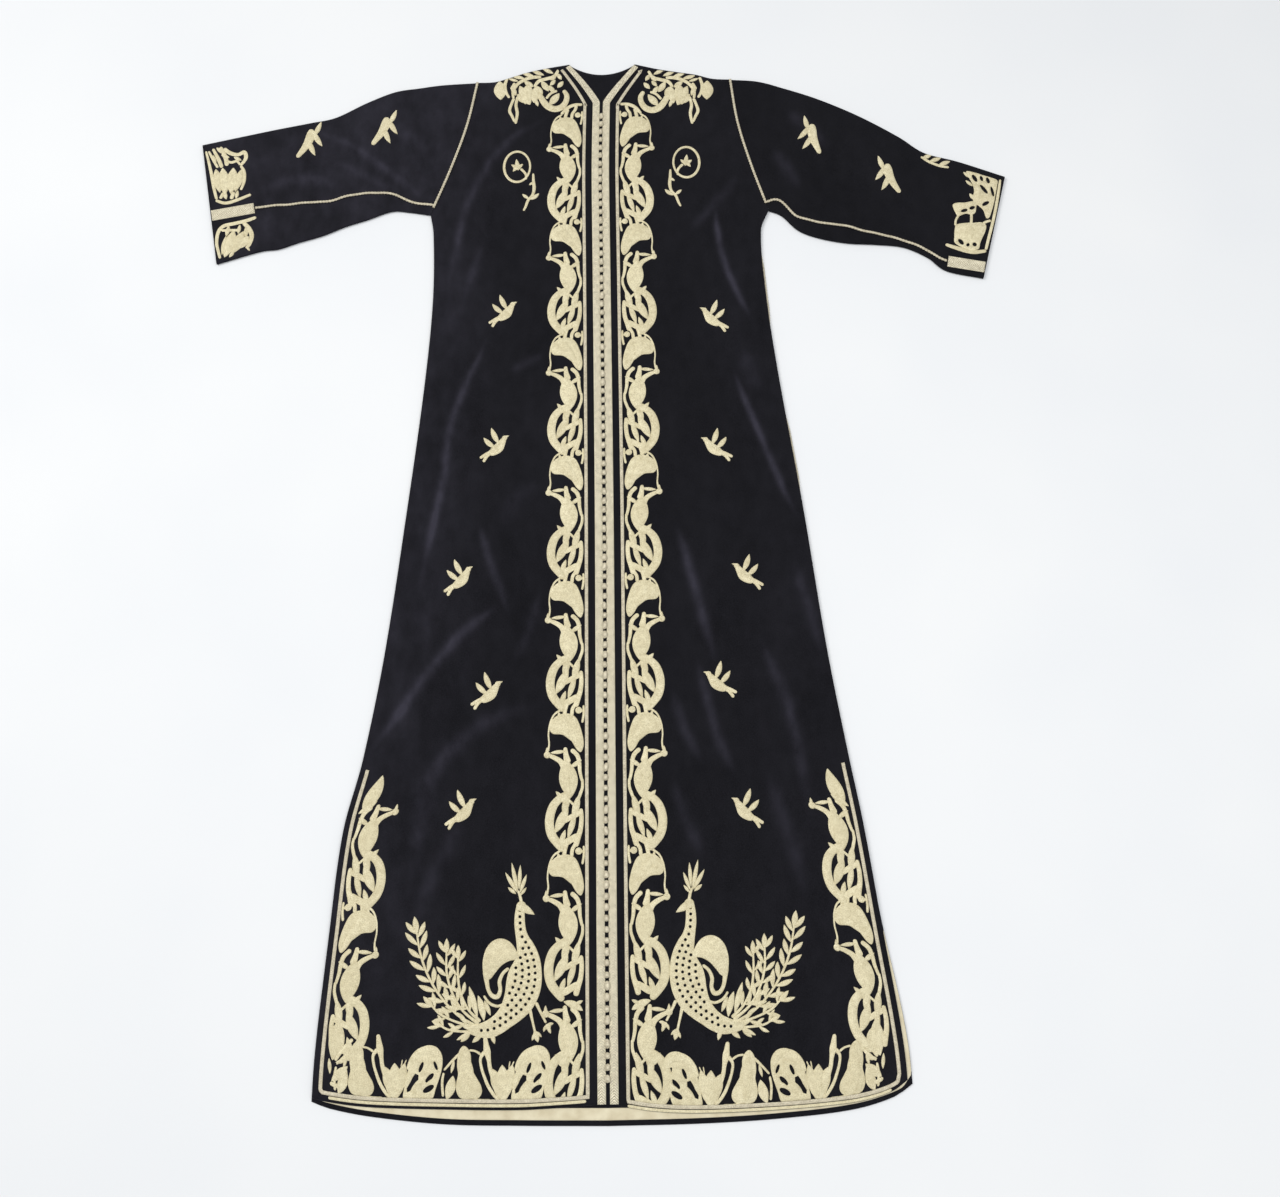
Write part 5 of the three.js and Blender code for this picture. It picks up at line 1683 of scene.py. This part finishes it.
def cloth_under(pieces):
    """What the embroidery is dropped onto."""
    points, faces = [], []
    for piece in pieces:
        first = len(points)
        points += [vertex.co.copy() for vertex in piece.data.vertices]
        faces += [[first + corner for corner in face.vertices] for face in piece.data.polygons]
    return BVHTree.FromPolygons(points, faces)


# Camera, light and floor

CAMERA_TILT = math.radians(15)
CAMERA_TURN = math.radians(-0.8948)
CAMERA_AIM = (0.0454, -0.0898, 0.0)
CAMERA_DISTANCE = 1.672
LENS = 35
SENSOR = 36
NEAREST_SEEN = 0.05

# Place, size, power and colour of each light
LIGHTS = {
    "window": ((-2.4, 0.9, 3.0), 1.8, 70, (1.0, 0.995, 0.98)),
    "ceiling": ((0.8, -0.5, 2.6), 2.4, 38, (0.98, 0.99, 1.0)),
}
ROOM = {"Color": (0.95, 0.97, 1.0, 1), "Strength": 0.55}
FLOOR = {"size": 12, "below": 0.0004}


def add_camera():
    data = bpy.data.cameras.new("camera")
    data.lens, data.sensor_width = LENS, SENSOR
    data.clip_start = NEAREST_SEEN
    camera = bpy.data.objects.new("camera", data)
    camera.rotation_euler = (CAMERA_TILT, 0, CAMERA_TURN)
    back = Euler((CAMERA_TILT, 0, CAMERA_TURN)).to_matrix() @ Vector((0, 0, CAMERA_DISTANCE))
    camera.location = Vector(CAMERA_AIM) + back
    bpy.context.scene.collection.objects.link(camera)
    bpy.context.scene.camera = camera


def add_area_light(name, place, size, power, colour):
    """A soft light that faces the middle of the garment."""
    data = bpy.data.lights.new(name, "AREA")
    data.size, data.energy, data.color = size, power, colour
    light = bpy.data.objects.new(name, data)
    light.location = place
    light.rotation_euler = (-Vector(place)).to_track_quat("-Z", "Y").to_euler()
    bpy.context.scene.collection.objects.link(light)


def add_light():
    world = bpy.data.worlds.new("room")
    bpy.context.scene.world = world
    world.use_nodes = True
    for label, value in ROOM.items():
        world.node_tree.nodes["Background"].inputs[label].default_value = value
    for name, light in LIGHTS.items():
        add_area_light(name, *light)
    bpy.context.scene.view_settings.view_transform = "Standard"


def add_floor(material):
    bpy.ops.mesh.primitive_plane_add(size=FLOOR["size"], location=(0, 0, -FLOOR["below"]))
    floor = bpy.context.object
    floor.name = "floor"
    floor.data.materials.append(material)


# Flat sizes of the cut cloth in metres, and areas in square metres
BACK_CLOTH = {"length": 1.49, "area": 0.85}
FRONT_CLOTH = {"width": {"left": 0.356, "right": 0.365}, "length": 1.47, "area": 0.42}
SLEEVE_CLOTH = (0.46, 0.4)
SEWN_ON = {
    "velvet_front": ("gold_braid", "gold_edging", "embroidery_front"),
    "velvet_sleeve": ("gold_sleeve_cord", "gold_cuff_band", "embroidery_sleeve"),
}


def sheet_sizes():
    """Flat width, length and area of each piece of cloth. No area means a plain rectangle."""
    hem = (width_at("left", 0) + width_at("right", 0)) / 1000
    facing = FACING["right_end"] * hem + (FACING["top_y"] - FACING["from_hem"]) / 1000
    sizes = {"velvet_back": (hem, BACK_CLOTH["length"], BACK_CLOTH["area"])}
    for side in SIDES:
        size = FRONT_CLOTH["width"][side], FRONT_CLOTH["length"], FRONT_CLOTH["area"]
        sizes[f"velvet_front_{side}"] = size
    sizes |= {f"velvet_sleeve_{side}": (*SLEEVE_CLOTH, None) for side in SIDES}
    sizes["cream_hem_facing"] = (FACING["width"] / 1000, facing, None)
    return sizes


def sewn_to(cloth_name):
    """Names of the trims and embroidery that go with a piece of cloth."""
    cloth, side = cloth_name.rsplit("_", 1)
    return [f"{trim}_{side}" for trim in SEWN_ON.get(cloth, ())]


def build():
    add_camera()
    thread_group = make_thread_group()
    velvet = velvet_material()
    gold_stitch = thread_material("stitch", thread_group, "thread", 0.9, 0.8)
    gold_cord = thread_material("cord", thread_group, "along", 1.1, 0.7)
    braid = braid_material(thread_group)
    tape = tape_material()

    pieces = [back_panel(velvet)]
    fronts = {side: front_panel(side, velvet) for side in SIDES}
    sleeves = {side: sleeve(side, velvet) for side in SIDES}
    pieces += [*fronts.values(), *sleeves.values()]
    cloth = cloth_under(pieces)
    trims = [hem_facing(tape), closure_knots(gold_cord)]
    for side in SIDES:
        trims += [front_braid(side, braid), front_edging(side, gold_cord), armhole_cord(side, gold_cord)]
        trims += [sleeve_cord(side, gold_cord), cuff_band(side, braid), side_cord(side, gold_cord)]
        trims += [front_embroidery(side, gold_stitch, cloth), sleeve_embroidery(side, gold_stitch, cloth)]
    for piece in pieces + trims:
        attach(piece, "root")
    named = {piece.name: piece for piece in pieces + trims}
    for name, (width, length, area) in sheet_sizes().items():
        under = ["velvet_back"] if "front" in name or "facing" in name else []
        sewn = [named[trim] for trim in sewn_to(name)]
    add_floor(floor_material())
    add_light()


build()
